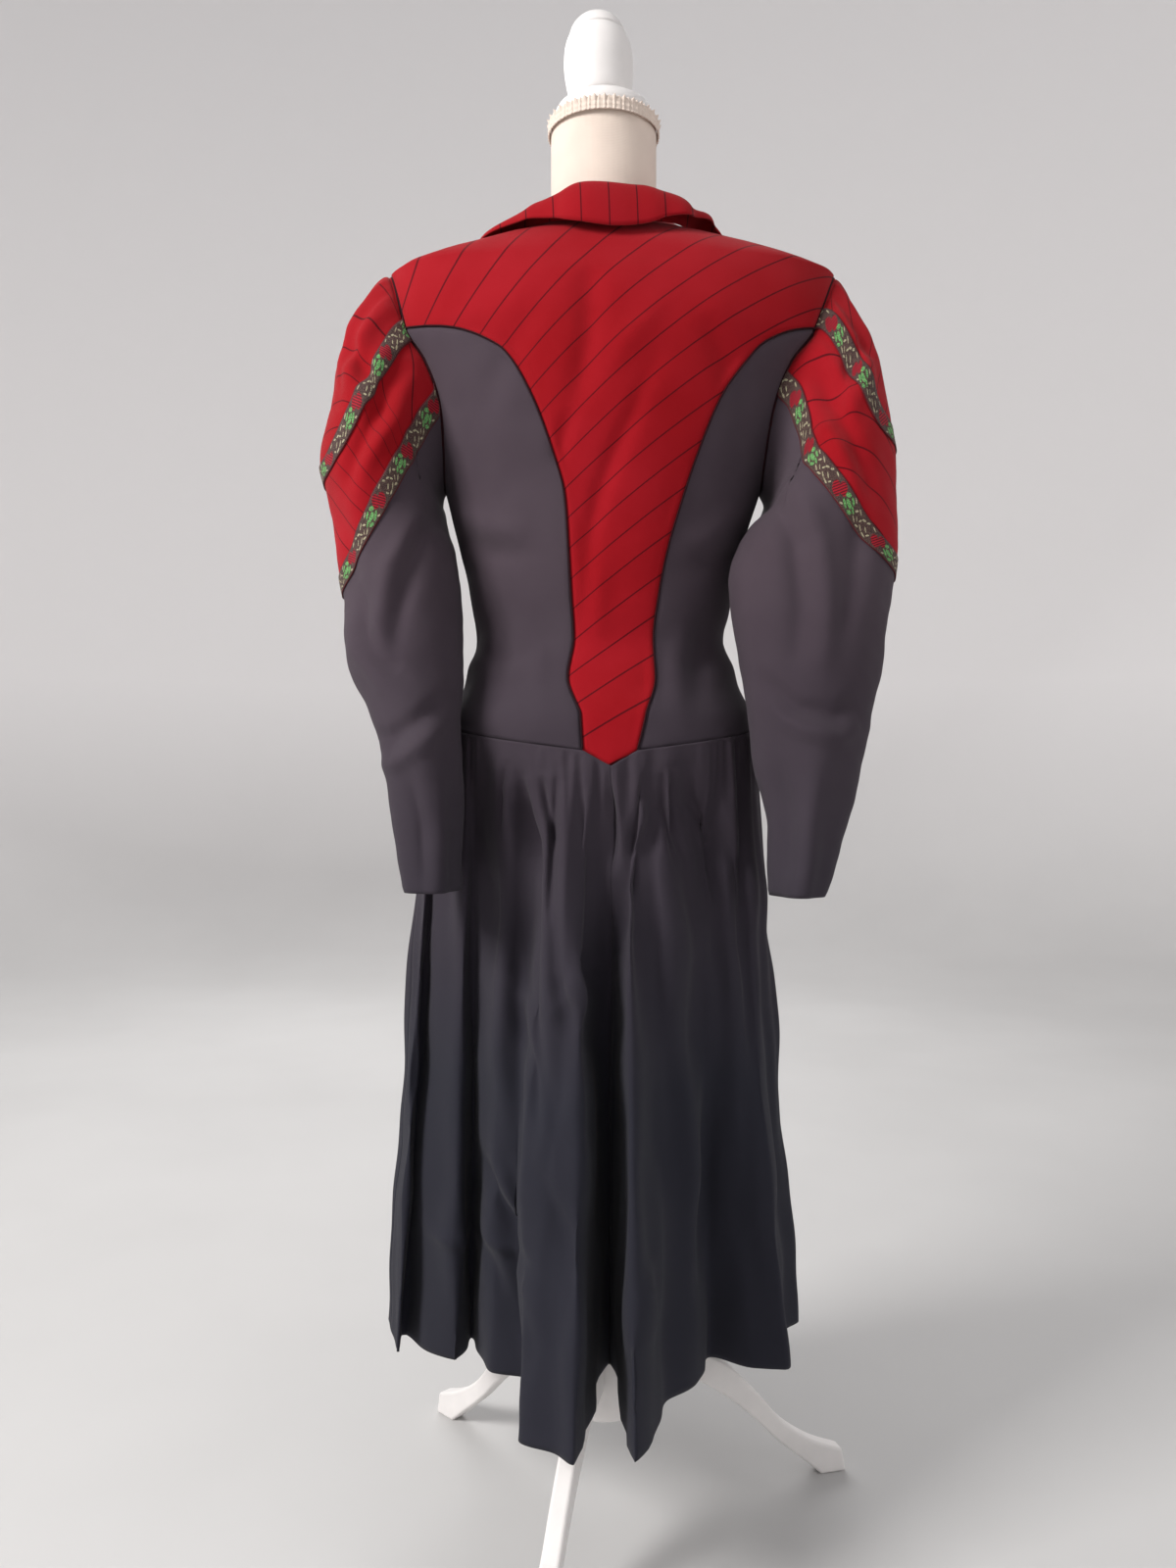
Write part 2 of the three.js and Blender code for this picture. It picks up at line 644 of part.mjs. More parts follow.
// The seam is straight between every second column, which both panels beside it share.
function onLine(line, turn) {
  const column = turn * SLEEVE_GRID / 2;
  const [low, high] = [Math.floor(column + 1e-6), Math.ceil(column - 1e-6)];
  const [from, to] = [low, high].map((place) => seamAt(line, place * 2 / SLEEVE_GRID));
  return lerp(from, to, column - low);
}

// Half the ribbon's width, measured along the sleeve, is more where the seam runs more steeply.
function ribbonHalf(line, turn) {
  const start = line.column / SLEEVE_GRID;
  const middle = clamp(turn, start, 1 - start);
  const before = Math.max(start, middle - SLOPE_REACH);
  const after = Math.min(1 - start, middle + SLOPE_REACH);
  const rise = (onLine(line, after) - onLine(line, before)) * SLEEVE_LENGTH;
  return RIBBON_HALF * Math.hypot(1, rise / ((after - before) * SLEEVE_GIRTH));
}

const sleeveSeam = (line) => ({
  at: (turn) => onLine(line, turn),
  half: (turn) => (onLine(line, turn) > 0 ? ribbonHalf(line, turn) : 0),
});
const straightEdge = (along) => ({ at: () => along, half: () => 0 });

// A row of each panel runs along the ribbon's edge, so that ribbon and panels share their folds.
function sleevePanel(sleeve, turns, rows, top, bottom) {
  const seat = (seam, turn) => SEAT_CLEAR + Math.min(
    seam.half(turn),
    bottom.at(turn) - top.at(turn) - RIBBON_CLEAR,
  );
  const inner = steps(rows).map((t) => turns.map((turn) => [
    turn,
    lerp(top.at(turn) + seat(top, turn), bottom.at(turn) - seat(bottom, turn), t),
  ]));
  const edge = (seam) => turns.map((turn) => [turn, seam.at(turn)]);
  return clothPiece(sleeve, [edge(top), ...inner, edge(bottom)], { trim: SEAM_TRIM });
}

function sleeveRibbon(sleeve, turns, seam) {
  const places = [-1, 0, 1].map((k) => turns.map((turn) => [
    turn,
    Math.max(RIBBON_CLEAR * (2 + k), seam.at(turn) + k * seam.half(turn)),
  ]));
  return clothPiece(sleeve, places, { lift: TRIM_LIFT + RIBBON_WALL, wall: RIBBON_WALL, trim: 0 });
}

for (const [label, sideSign] of [['left', 1], ['right', -1]]) {
  const sleeve = sleeveSurface(label, sideSign);
  const { upper, lower } = V_LINES[label];
  const [upperSeam, lowerSeam] = [sleeveSeam(upper), sleeveSeam(lower)];
  const [armhole, wrist] = [straightEdge(0), straightEdge(1)];
  const capTurns = columns(upper.column, 1);
  const bandTurns = columns(lower.column, 2);
  const lowerTurns = columns(0, 2);
  const cap = sleevePanel(sleeve, capTurns, CAP_ROWS, armhole, upperSeam);
  const band = sleevePanel(sleeve, bandTurns, BAND_ROWS, upperSeam, lowerSeam);
  const rest = sleevePanel(sleeve, lowerTurns, LOWER_ROWS, lowerSeam, wrist);
  add(`sleeve_cap_${label}`, cap, RED_COTTON);
  add(`sleeve_band_${label}`, band, RED_COTTON);
  add(`sleeve_lower_${label}`, rest, GREY_COTTON);
  const upperRibbon = sleeveRibbon(sleeve, capTurns.slice(1, -1), upperSeam);
  add(`ribbon_upper_${label}`, upperRibbon, RIBBON_WEAVE);
  add(`ribbon_lower_${label}`, sleeveRibbon(sleeve, bandTurns, lowerSeam), RIBBON_WEAVE);
}

// Skirt
// Folds of the hem, in turn round it from the centre back over the wearer's left: the angle at
// the waist that falls there, and where it hangs. Ridges and troughs alternate.
const HEM_FOLDS = [
  { angle: -2, x: -4, y: 55 },
  { angle: 7, x: 29, y: 232 },
  { angle: 13, x: 45, y: 214 },
  { angle: 22, x: 79, y: 190 },
  { angle: 31, x: 78, y: 82 },
  { angle: 37, x: 110, y: 72 },
  { angle: 49, x: 136, y: 0 },
  { angle: 55, x: 147, y: 50 },
  { angle: 76, x: 205, y: -4 },
  { angle: 82, x: 206, y: 31 },
  { angle: 91, x: 230, y: -43 },
  { angle: 106, x: 190, y: -70 },
  { angle: 115, x: 205, y: -120 },
  { angle: 127, x: 140, y: -115 },
  { angle: 139, x: 138, y: -175 },
  { angle: 151, x: 88, y: -130 },
  { angle: 160, x: 85, y: -205 },
  { angle: 169, x: 35, y: -130 },
  { angle: 178, x: 15, y: -215 },
  { angle: 190, x: -25, y: -135 },
  { angle: 199, x: -60, y: -210 },
  { angle: 208, x: -85, y: -130 },
  { angle: 220, x: -125, y: -190 },
  { angle: 229, x: -125, y: -120 },
  { angle: 241, x: -180, y: -140 },
  { angle: 253, x: -165, y: -85 },
  { angle: 265, x: -208, y: -75 },
  { angle: 271, x: -190, y: -50 },
  { angle: 277, x: -205, y: -40 },
  { angle: 292, x: -184, y: -10 },
  { angle: 304, x: -174, y: 64 },
  { angle: 313, x: -144, y: 62 },
  { angle: 325, x: -104, y: 44 },
  { angle: 334, x: -86, y: 95 },
  { angle: 343, x: -55, y: 126 },
  { angle: 347, x: -50, y: 152 },
  { angle: 352, x: -22, y: 228 },
];
const aroundHem = (shift) => HEM_FOLDS.map(({ angle, x, y }) => [angle + shift, x, y]);
const hemPlace = smoothTable(
  ['angle', 'x', 'y'],
  [...aroundHem(-360), ...aroundHem(0), ...aroundHem(360)],
);
// How soon the skirt spreads on its way down: 1 is even, below 1 it spreads near the waist.
const flare = smoothTable(
  ['angle', 'power'],
  [
    [-182, 0.8],
    [-90, 1.1],
    [-2, 1.15],
    [55, 0.85],
    [90, 0.6],
    [130, 0.75],
    [178, 0.8],
  ],
);
const gatherDepth = smoothTable(
  ['fall', 'depth'],
  [
    [0, 1.5],
    [0.1, 5],
    [0.2, 4.5],
    [0.4, 2],
    [0.6, 0],
  ],
);
const WAIST_GATHERS = 30;
const GORE_STEPS = 30;
const SKIRT_FALLS = [0, 0.035, 0.1, 0.2, 0.36, 0.56, 0.78, 1];
const skirt = {
  side: 1,
  step: [0.5, 0.004],
  point(angle, fall) {
    const turned = turnedFrom(CENTRE_ANGLE - 180, angle);
    const waist = bodice.point(...waistPlace(angle));
    const hem = hemPlace(turned);
    const spreading = fall <= 0 ? 0 : fall ** flare(turned).power;
    const middle = vector(bodiceRing(waist.z).middle, 0, waist.z);
    const outward = waist.clone().sub(middle).normalize();
    const wave = Math.cos(2 * Math.PI * WAIST_GATHERS * (angle - CENTRE_ANGLE) / 360);
    return vector(
      lerp(waist.x, hem.x, spreading),
      lerp(waist.y, hem.y, spreading),
      lerp(waist.z, HEM_HEIGHT, fall),
    ).addScaledVector(outward, wave * gatherDepth(fall).depth);
  },
};
const GORES = [
  { name: 'skirt_back_left', from: 0 },
  { name: 'skirt_front_left', from: 90 },
  { name: 'skirt_front_right', from: 180 },
  { name: 'skirt_back_right', from: 270 },
];
for (const { name, from } of GORES) {
  const places = SKIRT_FALLS.map((fall) => steps(GORE_STEPS).map(
    (t) => [CENTRE_ANGLE + from + 90 * t, fall],
  ));
  add(name, clothPiece(skirt, places), GREY_COTTON);
}

// Dress form
// Rings of the padded body and neck: half width, depth to the back and depth to the front.
const FORM_MIDDLE = 1;
const FORM_SIDES = 24;
const FORM_RINGS = [
  { height: FORM_BOTTOM, halfWidth: 100, back: 62, front: 58 },
  { height: 650, halfWidth: 132, back: 84, front: 76 },
  { height: 690, halfWidth: 148, back: 98, front: 84 },
  { height: 740, halfWidth: 148, back: 102, front: 82 },
  { height: 795, halfWidth: 140, back: 98, front: 80 },
  { height: 835, halfWidth: 126, back: 88, front: 74 },
  { height: 878, halfWidth: 115, back: 78, front: 70 },
  { height: 925, halfWidth: 120, back: 80, front: 76 },
  { height: 975, halfWidth: 131, back: 86, front: 90 },
  { height: 1030, halfWidth: 144, back: 90, front: 104 },
  { height: 1075, halfWidth: 149, back: 93, front: 103 },
  { height: 1110, halfWidth: 152, back: 94, front: 96 },
  { height: 1150, halfWidth: 157, back: 92, front: 84 },
  { height: 1184, halfWidth: 162, back: 88, front: 72 },
  { height: 1220, halfWidth: 170, back: 76, front: 56 },
  { height: 1240, halfWidth: 166, back: 69, front: 42 },
  { height: 1254, halfWidth: 150, back: 63, front: 38 },
  { height: 1266, halfWidth: 124, back: 58, front: 34 },
  { height: 1277, halfWidth: 92, back: 54, front: 32 },
  { height: 1287, halfWidth: 68, back: 51, front: 33 },
  { height: 1296, halfWidth: 57, back: 50, front: 38 },
  { height: 1312, halfWidth: 54, back: 51, front: 48 },
  { height: NECK_RIM, halfWidth: 54, back: 52, front: 52 },
];
const formRing = ({ height, halfWidth, back, front }) => steps(FORM_SIDES).slice(1).map((t) => {
  const angle = 2 * Math.PI * t;
  const depth = Math.sin(angle) > 0 ? back : front;
  return vector(FORM_MIDDLE + halfWidth * Math.cos(angle), depth * Math.sin(angle), height);
});
add('form_body', ringSolid(FORM_RINGS.map(formRing)), FORM_COVER);

// The cover is drawn in at the neck by an elastic edge with fine gathers.
const FRILL_WALL = 1.2;
const FRILL_RADIUS = 56.5;
const FRILL_WAVES = 24;
const FRILL_WAVE_DEPTH = 0.7;
const FRILL_HEIGHT = 13;
const FRILL_RISE = 1;
const frill = {
  side: 1,
  step: [0.004, 0.05],
  point(turn, fall) {
    const angle = 2 * Math.PI * turn;
    const wave = FRILL_WAVE_DEPTH * Math.cos(FRILL_WAVES * angle);
    const radius = FRILL_RADIUS + wave;
    return vector(
      FORM_MIDDLE + radius * Math.sin(angle),
      radius * Math.cos(angle),
      NECK_RIM + FRILL_RISE - FRILL_HEIGHT * fall,
    );
  },
};
const frillPlaces = steps(1).map((fall) => steps(2 * FRILL_WAVES).map((t) => [t, fall]));
add('neck_frill', clothPiece(frill, frillPlaces, { wall: FRILL_WALL }), FORM_COVER);

const capProfile = [
  { radius: 0, height: 0 },
  { radius: 50, height: 0 },
  { radius: 50.5, height: 7 },
  { radius: 48, height: 14 },
  { radius: 42, height: 19 },
  { radius: 33, height: CAP_HEIGHT },
  { radius: 0, height: CAP_HEIGHT },
];
const cap = add('neck_cap', lathe(capProfile, CAP_SIDES), WHITE_PAINT);
cap.position.set(FORM_MIDDLE, 0, NECK_RIM + PIECE_GAP);

const finialProfile = [
  { radius: 0, height: 0 },
  { radius: 21, height: 0 },
  { radius: 30, height: 3 },
  { radius: 33, height: 14 },
  { radius: 35.5, height: 36 },
  { radius: 34, height: 54 },
  { radius: 29.5, height: 67 },
  { radius: 27.5, height: 69 },
  { radius: 28, height: 71 },
  { radius: 25, height: 78 },
  { radius: 17, height: 86 },
  { radius: 7, height: 89.5 },
  { radius: 0, height: 90 },
];
const FINIAL_LEAN = degToRad(3);
const FINIAL_OFFSET = 4;
const FINIAL_GAP = 1.8;
const finial = add('finial', lathe(finialProfile, FINIAL_SIDES), WHITE_PAINT);
finial.position.set(FINIAL_OFFSET, 0, NECK_RIM + CAP_HEIGHT + FINIAL_GAP);
finial.rotation.y = FINIAL_LEAN;

// Stand
const pole = new THREE.CylinderGeometry(
  POLE_RADIUS,
  POLE_RADIUS,
  FORM_BOTTOM - HUB_TOP - 2 * PIECE_GAP,
  POLE_SIDES,
).rotateX(Math.PI / 2);
add('pole', pole, WHITE_PAINT).position.z = (FORM_BOTTOM + HUB_TOP) / 2;

const hubProfile = [
  { radius: 0, height: HUB_BOTTOM },
  { radius: HUB_RADIUS - 5, height: HUB_BOTTOM },
  { radius: HUB_RADIUS, height: HUB_BOTTOM + 6 },
  { radius: HUB_RADIUS, height: HUB_TOP - 6 },
  { radius: HUB_RADIUS - 6, height: HUB_TOP },
  { radius: 0, height: HUB_TOP },
];
add('hub', lathe(hubProfile, HUB_SIDES), WHITE_PAINT);

// A leg is sawn from a board in an S, from the hub down to a flat foot.
const LEG_UPPER_EDGE = [[36, 164], [76, 156], [124, 134], [166, 94], [196, 60], [232, 36], [262, 24]];
const LEG_LOWER_EDGE = [[238, 0], [212, 22], [188, 42], [156, 74], [116, 106], [76, 128], [36, 134]];
const FOOT_END = [266, 0];
function legGeometry() {
  const outline = new THREE.Shape();
  const curve = (points) => points.map(([x, y]) => new THREE.Vector2(x, y));
  outline.moveTo(...LEG_UPPER_EDGE[0]);
  outline.splineThru(curve(LEG_UPPER_EDGE.slice(1)));
  outline.lineTo(...FOOT_END);
  outline.lineTo(...LEG_LOWER_EDGE[0]);
  outline.splineThru(curve(LEG_LOWER_EDGE.slice(1)));
  outline.closePath();
  const board = new THREE.ExtrudeGeometry(outline, {
    depth: LEG_BOARD,
    bevelEnabled: false,
    curveSegments: 1,
  });
  return board.translate(0, 0, -LEG_BOARD / 2).rotateX(Math.PI / 2);
}
LEG_ANGLES.forEach((angle, k) => {
  add(`leg_${k + 1}`, legGeometry(), WHITE_PAINT).rotation.z = degToRad(angle);
});

export default dress;
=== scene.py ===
# %% [markdown]
# # A long-sleeved dress on a dress form
# A cotton dress hangs on a padded form with a turned pole and three sawn legs. It is seen from
# behind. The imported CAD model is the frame: it says where everything is, and this script gives
# each piece the surface that the real one shows.

# %% The frame
import math

import bmesh
import bpy
import numpy as np
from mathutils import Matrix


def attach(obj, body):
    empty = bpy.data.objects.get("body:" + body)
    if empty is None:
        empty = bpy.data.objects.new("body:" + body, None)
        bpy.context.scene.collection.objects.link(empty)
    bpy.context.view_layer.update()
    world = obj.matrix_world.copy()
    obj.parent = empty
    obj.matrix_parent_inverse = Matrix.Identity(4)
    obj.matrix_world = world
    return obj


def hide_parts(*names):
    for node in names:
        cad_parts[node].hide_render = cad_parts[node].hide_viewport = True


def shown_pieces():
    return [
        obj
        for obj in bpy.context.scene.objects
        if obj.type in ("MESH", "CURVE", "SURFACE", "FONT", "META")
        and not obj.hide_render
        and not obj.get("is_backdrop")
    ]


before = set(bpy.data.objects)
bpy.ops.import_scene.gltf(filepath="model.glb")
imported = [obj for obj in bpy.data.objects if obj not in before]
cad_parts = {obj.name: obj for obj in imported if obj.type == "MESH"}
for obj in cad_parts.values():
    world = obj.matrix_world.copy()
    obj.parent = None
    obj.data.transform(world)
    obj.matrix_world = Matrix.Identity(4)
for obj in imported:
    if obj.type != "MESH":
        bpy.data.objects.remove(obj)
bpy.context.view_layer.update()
print("nodes in the frame:", len(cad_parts))

# %% [markdown]
# ## Camera
# The photograph was taken from the height of the hips, about 1.2 m behind the dress, with the
# wide lens of a phone. The camera looks along -Y, because the back of the dress is towards +Y.

# %% Camera
CAMERA_PLACE = (0.017, 1.214, 0.735)
LENS_MM = 27.81

camera_data = bpy.data.cameras.new("photo_camera")
camera_data.lens = LENS_MM
camera_data.sensor_width = 36
camera = bpy.data.objects.new("photo_camera", camera_data)
camera.location = CAMERA_PLACE
camera.rotation_euler = (math.pi / 2, 0, math.pi)
bpy.context.scene.collection.objects.link(camera)
bpy.context.scene.camera = camera
bpy.context.scene.view_settings.view_transform = "Standard"
print("camera at", CAMERA_PLACE)

# %% [markdown]
# ## Tables and curves
# A garment is described by a few measured rings and seams. Between the rows of a table the shape
# runs on smoothly. A plain spline could swing past its rows and make a bulge that nobody cut, so
# the slopes are held to the harmonic mean of the rises on both sides.

# %% Smooth tables
MM = 0.001
POLE_PLACE = np.array([0.0, -22.0, 0.0])


def smooth_table(rows):
    """A function of the first column that gives the other columns.
    Between two rows it is the cubic with the rows' slopes. A slope is the harmonic mean of the
    rises before and after the row, or 0 where they differ in sign."""
    rows = np.array(rows, float)
    keys, values = rows[:, 0], rows[:, 1:]
    rise = np.diff(values, axis=0) / np.diff(keys)[:, None]
    before, after = rise[:-1], rise[1:]
    together = before * after > 0
    slopes = np.vstack([
        rise[:1],
        np.where(together, 2 * before * after / np.where(together, before + after, 1), 0),
        rise[-1:],
    ])

    def curve(key):
        key = np.asarray(key, float)
        low = np.clip(np.searchsorted(keys, key) - 1, 0, len(keys) - 2)
        span = (keys[low + 1] - keys[low])[..., None]
        t = np.clip((key - keys[low])[..., None] / span, 0, 1)
        found = (
            (2 * t**3 - 3 * t**2 + 1) * values[low]
            + (t**3 - 2 * t**2 + t) * span * slopes[low]
            + (3 * t**2 - 2 * t**3) * values[low + 1]
            + (t**3 - t**2) * span * slopes[low + 1]
        )
        return np.moveaxis(found, -1, 0)

    return curve


def smooth_step(value, low, high):
    """0 below low, 1 above high, and 3t² - 2t³ between them."""
    t = np.clip((value - low) / (high - low), 0, 1)
    return t * t * (3 - 2 * t)


def stack(*parts):
    """Arrays of x, y and z become one array of points."""
    return np.stack(np.broadcast_arrays(*parts), axis=-1)


def unit(vectors):
    """Each vector divided by its length."""
    return vectors / np.maximum(np.linalg.norm(vectors, axis=-1, keepdims=True), 1e-9)


def normals_of(surface, u, v):
    """The cross product of the surface's two directions, each a central difference."""
    along_u = surface(u + 0.002 * surface.size, v) - surface(u - 0.002 * surface.size, v)
    along_v = surface(u, v + 0.002 * surface.rise) - surface(u, v - 0.002 * surface.rise)
    return unit(np.cross(along_u, along_v)) * surface.side


def set_surface(surface, size, rise, side):
    """Says how long the surface's two parameters run, and which side is its outside."""
    surface.size, surface.rise, surface.side = size, rise, side
    return surface


# %% [markdown]
# ## Cloth
# Every panel is a thin shell on a grid: rows and columns of points on its form, pushed in and out
# by creases. A simulation would also drape it, but not into these folds, so the creases are placed
# one by one from a table, as a sculptor would press them in.

# %% Creases
def crease_height(flat, table):
    """How far each crease lifts the points, whose places in the flat view are given.
    A crease is a line of places with a width and a height. Across it the lift is
    height · exp(-(distance / width)²), tilted by lean to one side, and it fades to its ends."""
    lift = np.zeros(flat.shape[:-1])
    for height, width, lean, line in table:
        line = np.array(line, float)
        spans = np.diff(line, axis=0)
        lengths = np.linalg.norm(spans, axis=1)
        starts = np.concatenate([[0], np.cumsum(lengths)[:-1]])
        nearest = np.full(lift.shape, 1e9)
        side, share = np.zeros(lift.shape), np.zeros(lift.shape)
        for start, span, length, before in zip(line[:-1], spans, lengths, starts):
            away = flat - start
            t = np.clip((away @ span) / length**2, 0, 1)
            distance = np.linalg.norm(away - t[..., None] * span, axis=-1)
            closer = distance < nearest
            nearest = np.where(closer, distance, nearest)
            cross = (span[0] * away[..., 1] - span[1] * away[..., 0]) / length
            side = np.where(closer, cross, side)
            share = np.where(closer, (before + t * length) / lengths.sum(), share)
        fade = np.sin(np.pi * np.clip(share, 0.02, 0.98)) ** 0.6
        lift += height * fade * np.exp(-((nearest / width) ** 2)) * (1 + lean * side / width)
    return lift


def unevenness(points, size, depth, seed):
    """A sum of twelve slow waves in random directions, about depth high and size long."""
    rng = np.random.default_rng(seed)
    ways = rng.normal(size=(12, 3)) / size * 2
    phases = rng.uniform(0, 2 * np.pi, 12)
    return depth * np.sin(points @ ways.T + phases).sum(axis=-1) / 3.5


# %% Grids and meshes
def lengths_along(points, axis):
    """The distance walked along one axis of the grid, from its first line."""
    walked = np.linalg.norm(np.diff(points, axis=axis), axis=-1)
    start = np.zeros_like(np.take(walked, [0], axis=axis))
    return np.cumsum(np.concatenate([start, walked], axis=axis), axis=axis)


def grid_normals(points, closed=False):
    """The normal at each point of a grid: the cross product of its two central differences."""
    if closed:
        across = np.roll(points, -1, 1) - np.roll(points, 1, 1)
    else:
        across = np.gradient(points, axis=1)
    return unit(np.cross(across, np.gradient(points, axis=0)))


def corners_of(faces_shape):
    """Row and column of the four corners of every face of a grid."""
    place = np.stack(np.meshgrid(*map(np.arange, faces_shape), indexing="ij"), -1)
    corners = place.reshape(-1, 1, 2) + np.array([[0, 0], [0, 1], [1, 1], [1, 0]])
    return corners[..., 0], corners[..., 1]


def grid_mesh(name, points, material, closed=False, fields=None, outside=None, wall=0.0):
    """An object on a grid of points in millimetres round the pole. Rows run down and columns
    across; a closed grid joins its last column to its first. outside is a rough outward way for
    each point, or one side, 1 or -1, of the grid's own normals. With a wall, a second layer lies
    that far behind the first and a rim joins them. The UV map is the cloth's own measure in
    metres: the distance walked across from the middle column, and down from the first row."""
    rows, cols = points.shape[:2]
    ways = grid_normals(points, closed)
    if outside is None or np.isscalar(outside):
        side = outside or 1
    else:
        side = np.sign(np.sum(ways * outside))
    ring = np.concatenate([points, points[:, :1]], axis=1) if closed else points
    r, c = corners_of((rows - 1, ring.shape[1] - 1))
    if side > 0:
        r, c = r[:, ::-1], c[:, ::-1]
    faces = r * cols + c % cols
    layers = [points]
    if wall:
        count = rows * cols
        edge = np.arange(rows * cols).reshape(rows, cols)
        if closed:
            loops = [np.append(edge[0], edge[0, 0]), np.append(edge[-1], edge[-1, 0])[::-1]]
        else:
            loops = [np.concatenate([edge[0], edge[1:, -1], edge[-1, -2::-1], edge[-2::-1, 0]])]
        rim = [np.stack([loop[:-1], loop[1:], loop[1:] + count, loop[:-1] + count], -1)
               for loop in loops]
        rim = np.concatenate(rim)
        if side > 0:
            rim = rim[:, ::-1]
        layers.append(points - ways * side * wall)
        faces = np.concatenate([faces, faces[:, ::-1] + count, rim[:, ::-1]])
        r = np.concatenate([r, r[:, ::-1], rim[:, ::-1] % count // cols])
        c = np.concatenate([c, c[:, ::-1], rim[:, ::-1] % count % cols])
    mesh = bpy.data.meshes.new(name)
    places = (np.concatenate([layer.reshape(-1, 3) for layer in layers]) + POLE_PLACE) * MM
    mesh.from_pydata(places.tolist(), [], faces.tolist())
    across, down = lengths_along(ring, 1), lengths_along(ring, 0)
    across = across - across[:, across.shape[1] // 2][:, None]
    r, c = r.ravel(), c.ravel()
    uv = np.stack([across[r, c], down[r, c]], -1) * MM
    mesh.uv_layers.new(name="UVMap").data.foreach_set("uv", uv.ravel())
    for label, values in (fields or {}).items():
        attribute = mesh.attributes.new(label, "FLOAT", "CORNER")
        if closed:
            values = np.concatenate([values, values[:, :1]], axis=1)
        attribute.data.foreach_set("value", values[r, c].astype(np.float32).ravel())
    mesh.shade_smooth()
    mesh.materials.append(material)
    piece = bpy.data.objects.new(name, mesh)
    bpy.context.scene.collection.objects.link(piece)
    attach(piece, "root")
    return piece


def stand_for(piece, slot, *nodes):
    """The piece takes the place of these nodes, which are hidden; slot is not used."""
    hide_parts(*nodes)
    return piece


# %% [markdown]
# ## Shader arithmetic
# A material is a sum of masks: where a pinstripe runs, where a leaf lies. Written as node links
# that is hard to read, so a small class lets a socket be added, multiplied and compared in Python.

# %% Shader arithmetic
class Value:
    """A number that changes over the surface: an output socket with Python's operators. The
    reflected forms let a plain number stand on the left, as in 1 - mask."""

    def __init__(self, shader, socket):
        self.shader, self.socket = shader, socket

    def _math(self, operation, *inputs):
        return self.shader.add("Math", {"operation": operation}, *inputs)

    def __add__(self, other):
        return self._math("ADD", self, other)

    def __radd__(self, other):
        return self._math("ADD", other, self)

    def __sub__(self, other):
        return self._math("SUBTRACT", self, other)

    def __rsub__(self, other):
        return self._math("SUBTRACT", other, self)

    def __mul__(self, other):
        return self._math("MULTIPLY", self, other)

    def __rmul__(self, other):
        return self._math("MULTIPLY", other, self)

    def __truediv__(self, other):
        return self._math("DIVIDE", self, other)

    def __rtruediv__(self, other):
        return self._math("DIVIDE", other, self)

    def __abs__(self):
        return self._math("ABSOLUTE", self)

    def wave(self):
        """The sine of the value."""
        return self._math("SINE", self)

    def part(self):
        """What is left of the value after its whole number."""
        return self._math("FRACT", self)

    def ramp(self, low, high):
        """0 below low and 1 above high, straight between them; high may be the smaller."""
        return self.shader.add(
            "MapRange", {"clamp": True}, Value=self, **{"From Min": low, "From Max": high}
        )


class Shader:
    """One procedural material. Its node trees grow by add(), and mix() blends colours."""

    def __init__(self, name, roughness=0.9, sheen=0.0, specular=0.5):
        self.material = bpy.data.materials.new(name)
        self.material.use_nodes = True
        self.tree = self.material.node_tree
        self.surface = self.tree.nodes["Principled BSDF"]
        self.surface.inputs["Roughness"].default_value = roughness
        self.surface.inputs["Sheen Weight"].default_value = sheen
        self.surface.inputs["Specular IOR Level"].default_value = specular

    def add(self, kind, settings=None, *inputs, output=0, **named):
        """A node of this type: its settings first, then its sockets, by place or by name."""
        node = self.tree.nodes.new("ShaderNode" + kind)
        for key, value in (settings or {}).items():
            setattr(node, key, value)
        for key, value in [*enumerate(inputs), *named.items()]:
            self.put(node.inputs[key], value)
        return Value(self, node.outputs[output])

    def put(self, socket, value):
        """Links a Value to the socket, or sets it to a constant."""
        if isinstance(value, Value):
            self.tree.links.new(value.socket, socket)
        else:
            socket.default_value = value

    def mix(self, share, first, second):
        """The first colour where share is 0 and the second where it is 1."""
        node = self.tree.nodes.new("ShaderNodeMix")
        node.data_type = "RGBA"
        for place, value in ((0, share), (6, first), (7, second)):
            self.put(node.inputs[place], value)
        return Value(self, node.outputs[2])

    def place(self):
        """The point on the object, in metres."""
        return self.add("TexCoord", output=3)

    def cloth(self):
        """Distances across and down the cloth, in millimetres."""
        uv = self.add("UVMap", {"uv_map": "UVMap"})
        split = self.tree.nodes.new("ShaderNodeSeparateXYZ")
        self.put(split.inputs[0], uv)
        return Value(self, split.outputs[0]) * 1000, Value(self, split.outputs[1]) * 1000

    def height(self):
        """The height over the floor, in metres."""
        return self.add("SeparateXYZ", None, self.place(), output=2)

    def field(self, name):
        """A number stored in the mesh."""
        return self.add("Attribute", {"attribute_name": name}, output=2)

    def noise(self, scale, detail=3.0):
        """Cloudy noise about 0.5, scale spots to the metre."""
        return self.add("TexNoise", None, Vector=self.place(), Scale=scale, Detail=detail)

    def finish(self, colour, bump=None, strength=0.3, depth=0.0005, roughness=None):
        """Links colour, roughness and bump to the surface and returns the material."""
        self.put(self.surface.inputs["Base Color"], colour)
        if roughness is not None:
            self.put(self.surface.inputs["Roughness"], roughness)
        if bump is not None:
            self.put(self.surface.inputs["Normal"], self.add(
                "Bump", None, Height=bump, Strength=strength, Distance=depth))
        return self.material


def rgb(red, green, blue):
    """A screen colour from 0 to 255 as the linear colour that a shader needs."""
    parts = np.array([red, green, blue]) / 255
    linear = np.where(parts <= 0.04045, parts / 12.92, ((parts + 0.055) / 1.055) ** 2.4)
    return (*linear.tolist(), 1.0)


